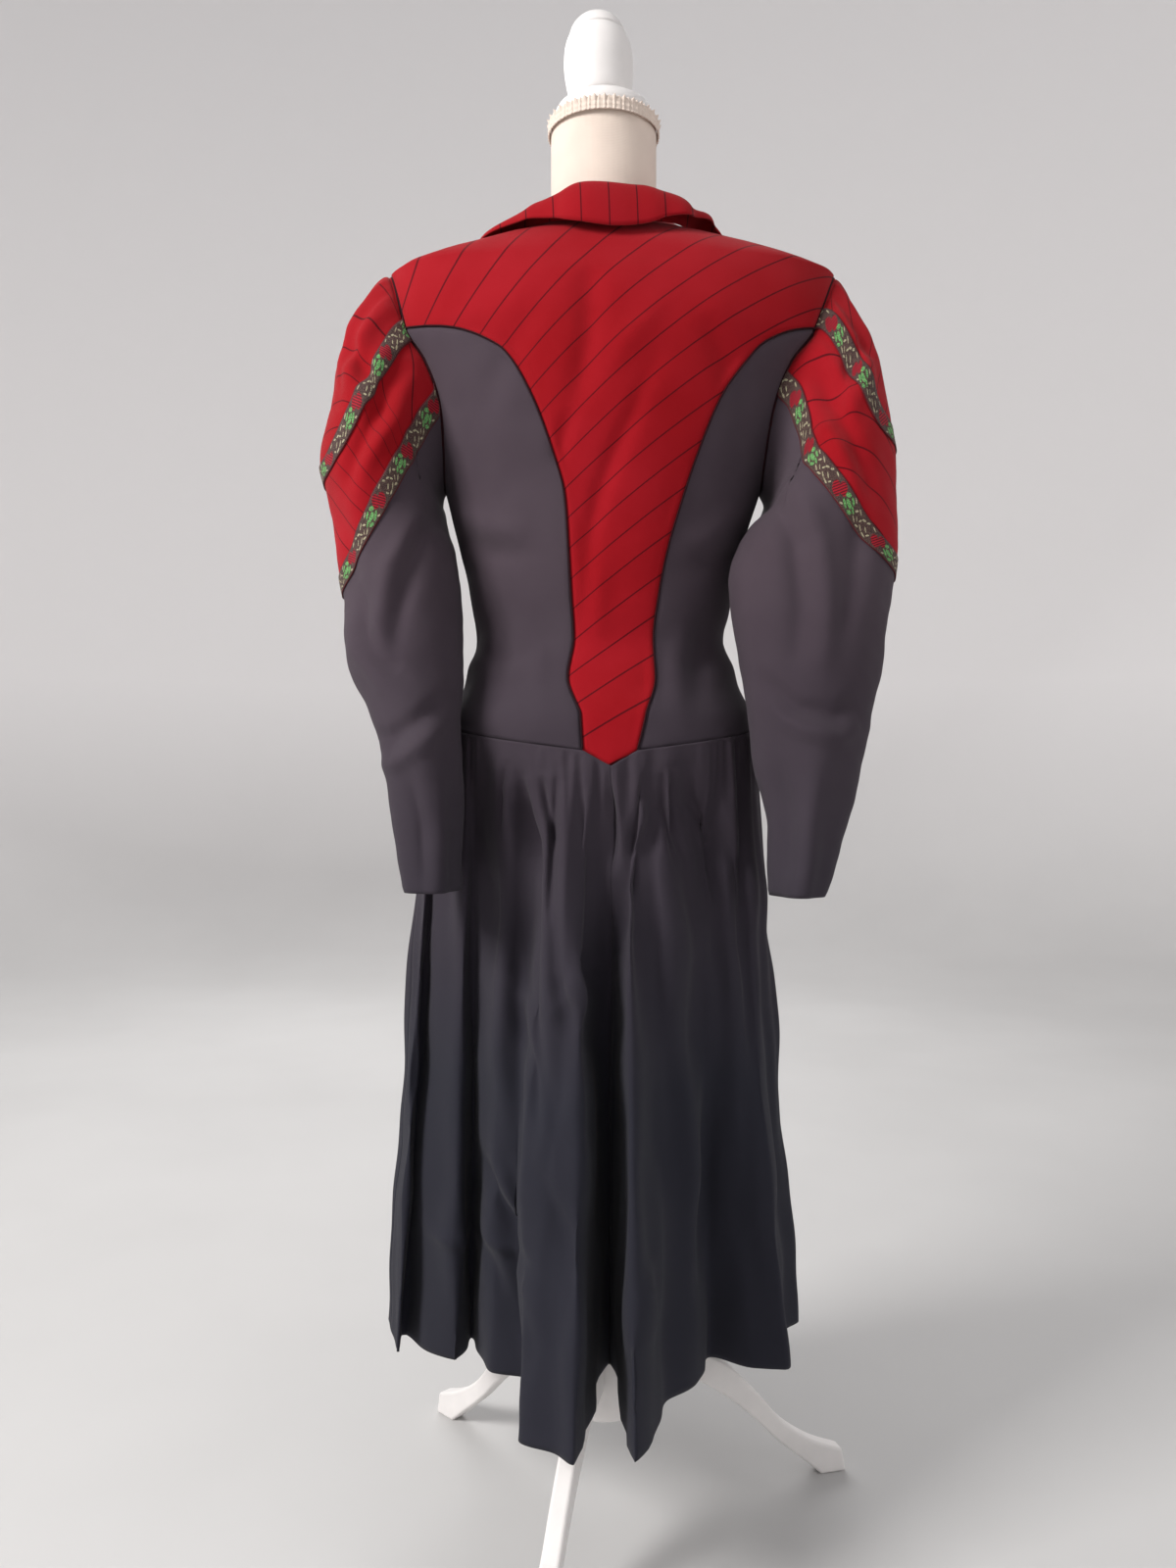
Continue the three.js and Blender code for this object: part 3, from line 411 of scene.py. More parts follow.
# %% [markdown]
# ## Finishes
# Both cottons are plain weave: threads pass over and under each other about fifteen to the
# centimetre. Red cotton also has dark pinstripes woven in, 23 to 29 mm apart. They follow the
# numbers stored in each panel, which count the stripes.

# %% Cottons
THREAD_MM = 0.65


def weave(shader):
    """Warp and weft as sine waves; a thread is high where the other is low."""
    across, down = shader.cloth()
    turn = 2 * math.pi / THREAD_MM
    return (across * turn).wave() * (down * turn).wave()


def make_cotton(name, colour, worn, lower=None, stripe=None):
    """Plain-woven cotton: slow changes of tone, a paler worn tone in patches, a weave bump, and
    a dark pinstripe where the stripe count is halfway between whole numbers. With a lower colour,
    painted shade darkens the cloth towards it from 0.95 m down to 0.45 m over the floor."""
    shader = Shader(name, roughness=0.9, sheen=0.05, specular=0.12)
    cloudy = shader.noise(9.0, 4.0)
    base = shader.mix(cloudy.ramp(0.35, 0.75) * 0.5, colour, worn)
    # painted shade: the colour darkens towards the lower one further down, standing in for light
    # that falls off towards the floor
    if lower is not None:
        base = shader.mix(shader.height().ramp(0.95, 0.45), base, lower)
    threads = weave(shader)
    base = shader.mix(threads.ramp(-1.2, 1.4) * 0.25, base, (0.0, 0.0, 0.0, 1.0))
    if stripe is not None:
        count = shader.field("stripe")
        away = abs(count.part() - 0.5)
        broken = shader.noise(300.0, 2.0) * 0.008
        woven = (away + broken).ramp(0.034, 0.024)
        base = shader.mix(woven * 0.8, base, stripe)
    bump = threads * 0.35 + shader.noise(120.0, 5.0) * 1.6
    return shader.finish(base, bump, strength=0.35, depth=0.0004)


RED_COTTON = make_cotton("red_cotton", rgb(152, 8, 20), rgb(174, 26, 40), stripe=rgb(52, 2, 12))
# the grey's lower colour is painted shade, darker and bluer towards the hem
GREY_COTTON = make_cotton("grey_cotton", rgb(72, 61, 69), rgb(88, 77, 85), lower=rgb(43, 43, 52))
# the dark piping colour is also used for the painted shade in the armholes
DARK_PIPING_AND_SHADE = make_cotton("dark_piping_and_shade", rgb(40, 8, 16), rgb(56, 18, 24))
print("cottons:", RED_COTTON.name, GREY_COTTON.name, DARK_PIPING_AND_SHADE.name)


# %% [markdown]
# ## Bodice
# The bodice is cut to the body: its rings are half ellipses, deeper at the front than at the back
# or the other way round. The red centre panel runs down to a point between grey side panels.

# %% Bodice form
BODICE_RINGS = smooth_table([
    # height, half width, depth to the back, to the front, middle, drop of the back
    [752, 163, 128, 100, 2, 0],
    [795, 156, 122, 96, 3, 0],
    [835, 138, 103, 86, 4, 0],
    [878, 126, 88, 80, 5, 0],
    [920, 131, 90, 88, 5, 0],
    [975, 144, 95, 104, 4, 0],
    [1030, 160, 99, 118, 2, 0],
    [1070, 172, 103, 116, 0, 0],
    [1110, 184, 106, 108, -2, 0],
    [1150, 202, 106, 96, -3, 0],
    [1184, 223, 103, 84, -5, 0],
    [1220, 226, 96, 70, -7, 1],
    [1250, 225, 86, 58, -8, 4],
    [1262, 192, 82, 54, -7, 6],
    [1274, 155, 77, 52, -6, 9],
    [1286, 116, 71, 52, -5, 12],
    [1295, 84, 66, 52, -4, 15],
    [1301, 67, 62, 50, -3, 17],
])
NECK_HEIGHT, SHOULDER_HEIGHT, UNDERARM_HEIGHT, NECKLINE_POINT = 1301, 1250, 1030, 1165
NECK_HALF_WIDTH = 67
CENTRE_ANGLE, WAIST_POINT_REACH = -2, 9


def bodice(angle, height):
    """The ellipse of the ring at this height, at this angle from the centre back over the
    wearer's left; the back of a ring hangs by its drop · cos²."""
    half, back, front, middle, drop = BODICE_RINGS(height)
    sine, cosine = np.sin(np.radians(angle)), np.cos(np.radians(angle))
    behind = cosine > 0
    depth = np.where(behind, back, front)
    return stack(middle + half * sine, depth * cosine,
                 height - np.where(behind, drop * cosine**2, 0))


set_surface(bodice, 100, 300, -1)


def waist_height(angle):
    """The waist seam drops in straight lines to a point at the centre back and centre front."""
    turned = np.abs((np.asarray(angle, float) - CENTRE_ANGLE + 540) % 360 - 180)
    return np.interp(turned, [0, 9, 90, 171, 180], [751.5, 766, 795, 768, 755])


ARMHOLE_MIDDLE = (SHOULDER_HEIGHT + UNDERARM_HEIGHT) / 2
PANEL_NOTCH = 0.3156


def armhole_place(turn, side):
    """Underarm at 0, over the back to the shoulder tip at 0.5, and down the front to 1."""
    angle = np.asarray(turn) * 2 * np.pi
    reach = np.where(np.asarray(turn) < 0.5, 27, 30)
    height = ARMHOLE_MIDDLE - (SHOULDER_HEIGHT - ARMHOLE_MIDDLE) * np.cos(angle)
    return np.stack([side * (90 - reach * np.sin(angle)), height], -1)


V_SEAM = smooth_table([
    # height, wearer's left of the origin, right of it
    [801, 24, -37],
    [836, 36, -46.7],
    [874, 30.6, -45.5],
    [912, 33, -50],
    [956, 35.5, -58.5],
    [1006, 39, -73],
    [1053, 52, -89],
    [1105, 72, -111],
    [1146, 97, -140],
    [1158, 114, -151],
    [1167, 131, -165],
    [1174, 150, -179],
    [1179.5, 174, -194],
])
V_SEAM_REACH = (801, 1179.5)


def v_seam(side, on_front):
    """The seam between red and grey, as places from the waist up to the armhole's notch."""
    centre = (180 * side if on_front else 0) + CENTRE_ANGLE
    waist_angle = centre + (-side if on_front else side) * WAIST_POINT_REACH
    height = np.linspace(*V_SEAM_REACH, 120)
    half, _, _, middle, _ = BODICE_RINGS(height)
    left, right = V_SEAM(height)
    angle = np.degrees(np.arcsin(((left if side > 0 else right) - middle) / half))
    if on_front:
        angle = 180 * side - angle
    notch = armhole_place(1 - PANEL_NOTCH if on_front else PANEL_NOTCH, side)
    return np.vstack([
        [[waist_angle, waist_height(waist_angle)]],
        np.stack([angle, height], -1),
        [notch],
    ])


# %% Panel grids
BODICE_SCALE = np.array([2.6, 1.0])


def walked_along(places, scale=BODICE_SCALE):
    """The distance in millimetres from a line's start, for a scale of millimetres to a unit."""
    steps = np.linalg.norm(np.diff(places, axis=0) * scale, axis=1)
    return np.concatenate([[0], np.cumsum(steps)])


def evenly(places, count, scale=BODICE_SCALE):
    """The same line with this many places, evenly spread along its length."""
    places = np.asarray(places, float)
    walked = walked_along(places, scale)
    wanted = np.linspace(0, walked[-1], count)
    return np.stack([np.interp(wanted, walked, places[:, k]) for k in (0, 1)], -1)


def spread(low, high, start, end):
    """Places between four edges that share their corners: the sum of both straight blends
    between opposite edges, less the blend of the four corners."""
    r = np.linspace(0, 1, len(start))[:, None, None]
    c = np.linspace(0, 1, len(low))[None, :, None]
    corners = (1 - r) * ((1 - c) * low[0] + c * low[-1]) + r * ((1 - c) * high[0] + c * high[-1])
    return ((1 - r) * low[None] + r * high[None] + (1 - c) * start[:, None] + c * end[:, None]
            - corners)


def line(start, end, count=40):
    """A straight line of places."""
    return np.linspace(start, end, count)


def waist_line(start, end):
    """Places along the waist seam between two angles."""
    angle = np.linspace(start, end, 60)
    return np.stack([angle, waist_height(angle)], -1)


def armhole_line(start, end, side):
    """Places along the armhole between two turns."""
    return armhole_place(np.linspace(start, end, 50), side)


def shoulder(side):
    """The shoulder seam from its tip to the neck."""
    return line([90 * side, SHOULDER_HEIGHT], [90 * side, NECK_HEIGHT])


def red_back(rows, cols):
    """The red centre back: waist point, both V seams, both armholes' tops, shoulders, neck."""
    start, end = [np.vstack([
        v_seam(side, False), armhole_line(PANEL_NOTCH, 0.5, side)[1:], shoulder(side)[1:],
    ]) for side in (-1, 1)]
    return spread(evenly(waist_line(start[0][0], end[0][0]), cols),
                  evenly(line([-90, NECK_HEIGHT], [90, NECK_HEIGHT]), cols),
                  evenly(start, rows), evenly(end, rows))


V_SEAM_CORNER = 1030


def grey_side(side, on_front, rows, cols):
    """A grey side panel: the V seam is its near edge up to the bust and its upper edge after."""
    seam = v_seam(side, on_front)
    corner = np.searchsorted(seam[:, 1], V_SEAM_CORNER)
    side_angle = 90 * side + CENTRE_ANGLE
    underarm = line([side_angle, waist_height(side_angle)], [90 * side, UNDERARM_HEIGHT])
    if on_front:
        armhole = armhole_line(1, 1 - PANEL_NOTCH, side)
    else:
        armhole = armhole_line(0, PANEL_NOTCH, side)
    return spread(evenly(waist_line(seam[0][0], side_angle), cols),
                  evenly(seam[corner:], cols),
                  evenly(seam[:corner + 1], rows),
                  evenly(np.vstack([underarm, armhole[1:]]), rows))


def neck_place(t, side):
    """The front neckline runs in a V from the shoulder (0) down to the top button (1)."""
    t = np.asarray(t, float)
    height = NECK_HEIGHT + (NECKLINE_POINT - NECK_HEIGHT) * t
    half, _, _, middle, _ = BODICE_RINGS(height)
    opening = np.clip((height - NECKLINE_POINT) / (NECK_HEIGHT - NECKLINE_POINT), 0, 1) ** 1.2
    x = middle * (1 - t) + side * NECK_HALF_WIDTH * opening
    reach = np.clip((x - middle) / half, -1, 1) * side
    return np.stack([side * (180 - np.degrees(np.arcsin(reach))), height], -1)


def red_front(side, rows, cols):
    """A red front: centre front and neckline, V seam and armhole, shoulder, waist."""
    centre = 180 * side + CENTRE_ANGLE
    near = np.vstack([
        line([centre, waist_height(centre)], [180 * side, NECKLINE_POINT]),
        neck_place(np.linspace(1, 0, 60), side)[1:],
    ])
    far = np.vstack([v_seam(side, True), armhole_line(1 - PANEL_NOTCH, 0.5, side)[1:]])
    return spread(evenly(waist_line(centre, far[0][0]), cols),
                  evenly(shoulder(side)[::-1], cols),
                  evenly(near, rows), evenly(far, rows))


print("waist at the centre back:", float(waist_height(CENTRE_ANGLE)), "mm")

# %% [markdown]
# ## Creases of the bodice
# Each row is one crease: how far it stands out (or, below zero, sinks in), how wide it is, how far
# it leans to one side, and its line as seen from behind or in front, in millimetres.

# %% Bodice creases
BACK_CREASES = [
    # height, width, lean, line of (x, z)
    (-3.2, 12, 0.4, [(12, 1228), (14, 1160), (22, 1120), (30, 1088)]),
    (-2.6, 10, -0.5, [(-44, 1132), (-31, 1104), (-24, 1084), (-5, 1044), (8, 1010), (17, 972),
                      (20, 925), (22, 900)]),
    (-2.2, 9, 0.5, [(30, 1086), (47, 1038)]),
    (1.8, 13, 0.3, [(5, 942), (8, 872)]),
    (1.6, 12, 0, [(-60, 1200), (-20, 1150), (10, 1100)]),
    (-1.8, 14, 0.3, [(60, 1190), (100, 1130), (128, 1060)]),
    (-2.0, 14, -0.3, [(-90, 1180), (-120, 1120), (-140, 1050)]),
    (2.2, 12, 0.4, [(150, 1010), (110, 985), (70, 975)]),
    (-2.0, 10, 0, [(148, 985), (112, 960), (74, 952)]),
    (2.4, 12, 0.4, [(-140, 1010), (-110, 980), (-80, 962)]),
    (-2.0, 10, 0, [(-136, 975), (-108, 950), (-78, 944)]),
    (-2.2, 12, 0.4, [(118, 930), (100, 880), (96, 820)]),
    (2.0, 12, -0.4, [(80, 900), (66, 850), (64, 800)]),
    (-2.4, 12, 0.4, [(-112, 920), (-96, 880), (-90, 815)]),
    (2.2, 12, 0.3, [(-78, 890), (-68, 840), (-70, 795)]),
    (-1.8, 12, 0.2, [(132, 872), (96, 858), (60, 862)]),
    (-1.8, 12, -0.2, [(-122, 868), (-92, 852), (-60, 858)]),
]
FRONT_CREASES = [
    (-2.4, 14, 0.3, [(120, 1050), (80, 1030), (40, 1036)]),
    (-2.4, 14, -0.3, [(-120, 1045), (-84, 1026), (-44, 1030)]),
    (2.2, 16, 0.3, [(90, 1180), (70, 1120), (64, 1060)]),
    (2.0, 16, -0.3, [(-92, 1176), (-74, 1118), (-66, 1052)]),
    (-2.2, 12, 0.4, [(110, 930), (84, 880), (78, 815)]),
    (-2.2, 12, -0.4, [(-108, 925), (-82, 876), (-78, 812)]),
    (1.8, 12, 0.2, [(60, 900), (48, 850), (46, 800)]),
    (1.8, 12, -0.2, [(-58, 896), (-46, 846), (-46, 796)]),
]
SIDE_CREASES = [
    (-2.2, 13, 0.3, [(-60, 900), (-10, 880), (50, 890)]),
    (2.0, 13, -0.3, [(-50, 870), (0, 852), (60, 862)]),
    (-1.8, 13, 0.3, [(-50, 960), (0, 940), (50, 955)]),
]


def bodice_relief(points, normals):
    """Creases of the back, front and sides, each on the panels that face that way, and slow
    unevenness over all of it."""
    seen = points[..., [0, 2]]
    aside = points[..., [1, 2]]
    facing = normals[..., 1]
    lift = crease_height(seen, BACK_CREASES) * smooth_step(facing, 0.1, 0.5)
    lift += crease_height(seen, FRONT_CREASES) * smooth_step(-facing, 0.1, 0.5)
    lift += crease_height(aside, SIDE_CREASES) * smooth_step(np.abs(normals[..., 0]), 0.6, 0.9)
    return 1.5 * lift + unevenness(points, 90, 1.2, 3) + unevenness(points, 34, 0.5, 4)


def rim_distance(points):
    """How far each point of the grid is from the nearest edge of its panel, in grid lines' own
    lengths: the distance walked along its row and column."""
    across, down = lengths_along(points, 1), lengths_along(points, 0)
    sides = [across, across[:, -1:] - across, down, down[-1:] - down]
    return np.minimum.reduce(sides)


SEAM_DIP, SEAM_WIDTH, CLOTH_WALL = 1.1, 3.0, 1.2


def bodice_panel(name, places, material, node, fields=None):
    """A panel of the bodice: its form with creases, its edges turned in at the seams."""
    angle, height = places[..., 0], places[..., 1]
    form = bodice(angle, height)
    normals = normals_of(bodice, angle, height)
    rim = rim_distance(form)
    dip = SEAM_DIP * np.exp(-((rim / SEAM_WIDTH) ** 2))
    relief = bodice_relief(form, normals) * smooth_step(rim, 0, 14)
    points = form + normals * (relief - dip)[..., None]
    stripes = {"stripe": fields(points)} if fields else None
    piece = grid_mesh(name, points, material, fields=stripes, outside=normals,
                      wall=CLOTH_WALL)
    return stand_for(piece, "red_cotton" if material is RED_COTTON else "grey_cotton", node)


# %% [markdown]
# ## Pinstripes of the bodice
# The centre back is cut on the slant, so its stripes climb towards the right of the photograph
# and fan out over the yoke. A cubic in x and z counts them smoothly over the whole panel.

# %% Stripe count
BACK_STRIPES = {
    # (power of x, power of z): weight, in decimetres from the middle of the back
    (0, 0): 10.644, (0, 1): 3.147, (0, 2): -0.154, (0, 3): -0.052, (1, 0): 2.905,
    (1, 1): -0.137, (1, 2): -0.183, (2, 0): 0.237, (2, 1): -0.130, (3, 0): -0.030,
}


def back_stripes(points):
    """The cubic that counts the pinstripes of the back. A stripe lies where the cubic is whole,
    so half a stripe is added for the finish."""
    x, z = points[..., 0] / 100, (points[..., 2] - 1100) / 100
    return sum(weight * x**i * z**j for (i, j), weight in BACK_STRIPES.items()) + 0.5


FRONT_SLOPE, FRONT_SPACING = 0.8, 26
STRIPE_START = 50  # whole, and enough to keep every count above zero


def front_stripes(side):
    """Straight stripes of a red front, which climb towards its side seam."""
    slope = FRONT_SLOPE * side

    def count(points):
        across = (points[..., 2] - slope * points[..., 0]) / math.hypot(1, slope)
        return across / FRONT_SPACING + STRIPE_START
    return count


def cut(name, places, material, fields=None):
    """Makes a bodice panel that stands for the node of the same name."""
    piece = bodice_panel(name + "_cloth", places, material, name, fields)
    return piece


SIDES = (("left", 1), ("right", -1))
cut("back_red_panel", red_back(140, 96), RED_COTTON, back_stripes)
for label, side in SIDES:
    cut(f"side_back_{label}", grey_side(side, False, 90, 48), GREY_COTTON)
    cut(f"side_front_{label}", grey_side(side, True, 80, 40), GREY_COTTON)
    cut(f"front_red_{label}", red_front(side, 110, 44), RED_COTTON, front_stripes(side))

# %% [markdown]
# ## Sleeves
# A puffed sleeve narrows from a full head to a narrow wrist, and hangs towards the back from the
# elbow down. Two flowered ribbons run round it in V lines and cover the seams between red cap,
# red band and grey lower sleeve.

# %% Sleeve form
SLEEVE_RINGS = {
    # along, outermost x and z, innermost x and z, middle to the back, half depth
    "left": smooth_table([
        [0, 216, 1250, 165, 1030, 0, 52],
        [0.03, 233, 1252, 167, 1024, 2, 62],
        [0.09, 252, 1214, 165, 1018, 4, 74],
        [0.19, 270, 1150, 162, 1012, 6, 80],
        [0.25, 276, 1112, 160, 1006, 8, 84],
        [0.33, 284, 1062, 155, 985, 14, 82],
        [0.41, 274, 1012, 149, 967, 22, 77],
        [0.53, 262, 931, 144, 931, 34, 70],
        [0.66, 248, 851, 139, 851, 60, 60],
        [0.76, 220, 792, 138, 792, 88, 52],
        [0.82, 207, 754, 137, 754, 100, 48],
        [0.9, 200, 700, 136, 700, 108, 47],
        [1, 187, 637, 135, 637, 118, 42],
    ]),
    "right": smooth_table([
        [0, -233, 1250, -158, 1030, 0, 52],
        [0.03, -246, 1240, -162, 1024, 4, 62],
        [0.09, -262, 1196, -162, 1018, 8, 74],
        [0.19, -275, 1140, -156, 1006, 16, 84],
        [0.25, -281, 1100, -150, 1000, 24, 84],
        [0.33, -284, 1050, -140, 985, 37, 77],
        [0.41, -283, 1004, -130, 967, 52, 68],
        [0.53, -276, 935, -118, 930, 68, 58],
        [0.66, -262, 848, -128, 848, 82, 56],
        [0.76, -247, 790, -136, 790, 91, 54],
        [0.82, -236, 752, -139, 752, 98, 51],
        [0.9, -221, 695, -149, 695, 108, 47],
        [1, -201, 633, -151, 633, 118, 42],
    ]),
}


def armhole_seam(turn, side):
    """The armhole of the bodice, a little outside it."""
    turn = np.asarray(turn) % 1
    places = armhole_place(turn, side)
    return bodice(places[..., 0], places[..., 1]) + 0.6 * normals_of(
        bodice, places[..., 0], places[..., 1])


def head_gather(turn, along):
    """Gathers over the top of the sleeve head, fourteen to a full turn and deepest just below the
    seam, with finer ones between them that die out sooner."""
    over_top = smooth_step(turn, 0.2, 0.32) * (1 - smooth_step(turn, 0.68, 0.8))
    fade = smooth_step(along, 0, 0.05) * (1 - smooth_step(along, 0.06, 0.28))
    fine = smooth_step(along, 0, 0.02) * (1 - smooth_step(along, 0.02, 0.1))
    wave = 3.2 * fade * np.cos(28 * np.pi * turn)
    return over_top * (wave + 1.2 * fine * np.cos(74 * np.pi * turn + 1))


def make_sleeve(label, side):
    """A ring is an ellipse between its outermost and innermost places; near the armhole the
    rings turn smoothly into the seam."""
    def sleeve(turn, along):
        outer_x, outer_z, inner_x, inner_z, middle_y, depth = SLEEVE_RINGS[label](
            np.clip(along, 0, 1))
        angle = 2 * np.pi * turn
        outer = stack(outer_x, middle_y, outer_z)
        middle = (outer + stack(inner_x, middle_y, inner_z)) / 2
        spoke = (outer - middle) * -np.cos(angle)[..., None]
        spoke = spoke + stack(0, depth * np.sin(angle), 0)
        reach = np.linalg.norm(spoke, axis=-1) + head_gather(turn, along)
        tube = middle + unit(spoke) * reach[..., None]
        tube = tube - stack(0, 0, np.maximum(0, along - 1) * 650)
        share = smooth_step(along, 0, 0.12)[..., None]
        return armhole_seam(turn, side) * (1 - share) + tube * share
    return set_surface(sleeve, 1, 1, side)


# %% Sleeve seams
SLEEVE_SCALE = np.array([480.0, 650.0])
V_SEAMS = {
    # turn and place along the sleeve, from the armhole at the back to the tip on the outside
    "left": (
        [(0.3156, 0), (0.300, 0.06), (0.287, 0.10), (0.288, 0.14), (0.302, 0.19), (0.330, 0.27),
         (0.350, 0.308), (0.385, 0.343), (0.44, 0.362), (0.5, 0.368)],
        [(0.2143, 0), (0.186, 0.06), (0.170, 0.102), (0.173, 0.17), (0.184, 0.234),
         (0.211, 0.317), (0.253, 0.393), (0.293, 0.444), (0.336, 0.482), (0.397, 0.513),
         (0.45, 0.53), (0.5, 0.536)],
    ),
    "right": (
        [(0.33, 0), (0.334, 0.06), (0.330, 0.10), (0.336, 0.17), (0.351, 0.212),
         (0.370, 0.244), (0.399, 0.272), (0.45, 0.292), (0.5, 0.30)],
        [(0.235, 0), (0.222, 0.05), (0.200, 0.085), (0.183, 0.125), (0.188, 0.19),
         (0.209, 0.258), (0.250, 0.340), (0.285, 0.400), (0.323, 0.449), (0.368, 0.487),
         (0.447, 0.517), (0.5, 0.525)],
    ),
}
WRIST_BELOW = {
    # turn at the wrist under each row of the lower seam
    "left": (0.06, 0.075, 0.09, 0.115, 0.14, 0.18, 0.24, 0.287, 0.334, 0.396, 0.45, 0.5),
    "right": (0.065, 0.08, 0.092, 0.108, 0.13, 0.16, 0.235, 0.28, 0.322, 0.368, 0.447, 0.5),
}


def mirrored(rows):
    """The rows of the back half and, through the tip, those of the front half."""
    rows = np.array(rows, float)
    flip = rows[-2::-1].copy()
    flip[:, 0] = 1 - flip[:, 0]
    return np.vstack([rows, flip])


def v_seam_places(label, which, count):
    """A V seam from the armhole at the back over the tip to the armhole in front, with places
    evenly spread along it."""
    whole = mirrored(V_SEAMS[label][which])
    walked = walked_along(whole, SLEEVE_SCALE)
    curve = smooth_table(np.column_stack([walked, whole]))
    return np.moveaxis(curve(np.linspace(0, walked[-1], count)), 0, -1)


CAP_SEAM_STEPS, CAP_CORNER = 400, 154


def cap_places(label, rows, cols):
    """The cap is a tongue: the top of the armhole above it, the seam on its other three sides."""
    seam = v_seam_places(label, 0, CAP_SEAM_STEPS + 1)
    far_corner = CAP_SEAM_STEPS - CAP_CORNER
    armhole = line([seam[0, 0], 0], [seam[-1, 0], 0], cols)
    return spread(armhole, evenly(seam[CAP_CORNER:far_corner + 1], cols, SLEEVE_SCALE),
                  evenly(seam[:CAP_CORNER + 1], rows, SLEEVE_SCALE),
                  evenly(seam[:far_corner - 1:-1], rows, SLEEVE_SCALE))


def band_places(label, rows, cols):
    """The band is a strip bent round the cap, from the upper seam to the lower one."""
    upper, lower = v_seam_places(label, 0, cols), v_seam_places(label, 1, cols)
    return spread(upper, lower, line(upper[0], lower[0], rows), line(upper[-1], lower[-1], rows))


def lower_places(label, rows, cols):
    """The lower sleeve hangs from the armhole's lower half and the lower seam down to the wrist.
    Its threads bend aside at first, by the falling share to the power 0.4."""
    top = np.vstack([[[0.0, 0.0]], V_SEAMS[label][1]])
    below = np.array([0, *WRIST_BELOW[label]])
    whole = np.column_stack([np.concatenate([below, 1 - below[-2::-1]]), mirrored(top)])
    wrist = np.linspace(0, 1, cols, endpoint=False)[None, :]
    turn, along = smooth_table(whole)(wrist)
    share = np.linspace(0, 1, rows)[:, None]
    return np.stack([turn + (wrist - turn) * share**0.4, along + (1 - along) * share], -1)


RIBBON_HALF = 8.8


def ribbon_places(label, which, rows, cols):
    """A strip along a seam: places up to half its width to each side of the seam."""
    seam = v_seam_places(label, which, cols)
    step = np.gradient(seam * SLEEVE_SCALE, axis=0)
    aside = unit(np.stack([-step[:, 1], step[:, 0]], -1)) / SLEEVE_SCALE
    reach = np.linspace(-RIBBON_HALF, RIBBON_HALF, rows)[:, None, None]
    places = seam + aside * reach
    places[..., 1] = np.maximum(places[..., 1], 0.003)
    return places


print("sleeve seams:", {label: [len(rows) for rows in seams] for label, seams in V_SEAMS.items()})

# %% Sleeve creases
SLEEVE_CREASES = {
    # height, width, lean, line of (x, z) seen from behind
    "left": [
        (-3.0, 10, 0.4, [(150, 1030), (176, 960), (190, 900), (196, 850)]),
        (2.6, 11, -0.4, [(168, 1010), (206, 940), (214, 880), (206, 830)]),
        (-2.6, 9, 0.5, [(236, 930), (222, 880), (205, 850), (186, 838)]),
        (2.4, 9, 0.3, [(250, 905), (232, 858), (204, 826), (176, 812)]),
        (-2.8, 9, 0.4, [(148, 812), (172, 790), (196, 776), (214, 780)]),
        (2.6, 9, 0.3, [(146, 790), (170, 766), (192, 752), (208, 752)]),
        (-2.4, 8, 0.4, [(176, 742), (164, 700), (160, 645)]),
        (2.0, 8, -0.4, [(152, 740), (150, 690), (148, 645)]),
        (-2.0, 12, 0.2, [(262, 1010), (246, 960), (244, 900)]),
        (2.2, 10, 0.3, [(262, 1160), (240, 1120), (224, 1090)]),
        (-2.4, 9, 0.3, [(258, 1176), (234, 1140), (216, 1112)]),
        (-2.6, 9, 0.3, [(196, 1150), (210, 1100), (236, 1046), (248, 1010)]),
        (2.2, 9, 0.3, [(186, 1138), (200, 1084), (224, 1036), (232, 1000)]),
    ],
    "right": [
        (-3.0, 11, -0.4, [(-150, 1030), (-170, 960), (-176, 900), (-168, 840)]),
        (2.8, 12, 0.4, [(-176, 1030), (-200, 960), (-204, 890), (-196, 830)]),
        (-2.4, 12, 0.4, [(-240, 1000), (-232, 930), (-214, 860)]),
        (-2.6, 9, 0.5, [(-140, 840), (-172, 806), (-206, 800), (-232, 812)]),
        (2.4, 9, 0.3, [(-146, 812), (-178, 784), (-210, 778), (-236, 790)]),
        (-2.2, 9, 0.4, [(-156, 760), (-164, 700), (-166, 645)]),
        (2.0, 9, 0.4, [(-190, 750), (-182, 700), (-180, 640)]),
        (2.4, 10, 0.3, [(-262, 1150), (-244, 1110), (-232, 1080)]),
        (-2.4, 9, 0.3, [(-256, 1172), (-236, 1136), (-222, 1100)]),
        (-2.6, 9, 0.3, [(-206, 1150), (-214, 1100), (-238, 1046), (-254, 1000)]),
        (2.2, 9, 0.3, [(-196, 1132), (-202, 1080), (-224, 1032), (-240, 990)]),
    ],
}
WRIST_FOLDS = 5


def sleeve_relief(label, turn, along, points):
    """The same creases on the side that faces back and, mirrored through the arm, in front; the
    wrist falls in a few slack folds; slow unevenness over all of it."""
    lift = 2.0 * crease_height(points[..., [0, 2]], SLEEVE_CREASES[label])
    lift = lift * (0.25 + 0.75 * smooth_step(np.sin(2 * np.pi * turn), -0.4, 0.3))
    slack = smooth_step(along, 0.55, 0.95) * 2.2
    lift += slack * np.cos(2 * np.pi * WRIST_FOLDS * turn + 6 * along + (label == "left"))
    return lift + unevenness(points, 60, 1.6, 5) + unevenness(points, 24, 0.5, 6)


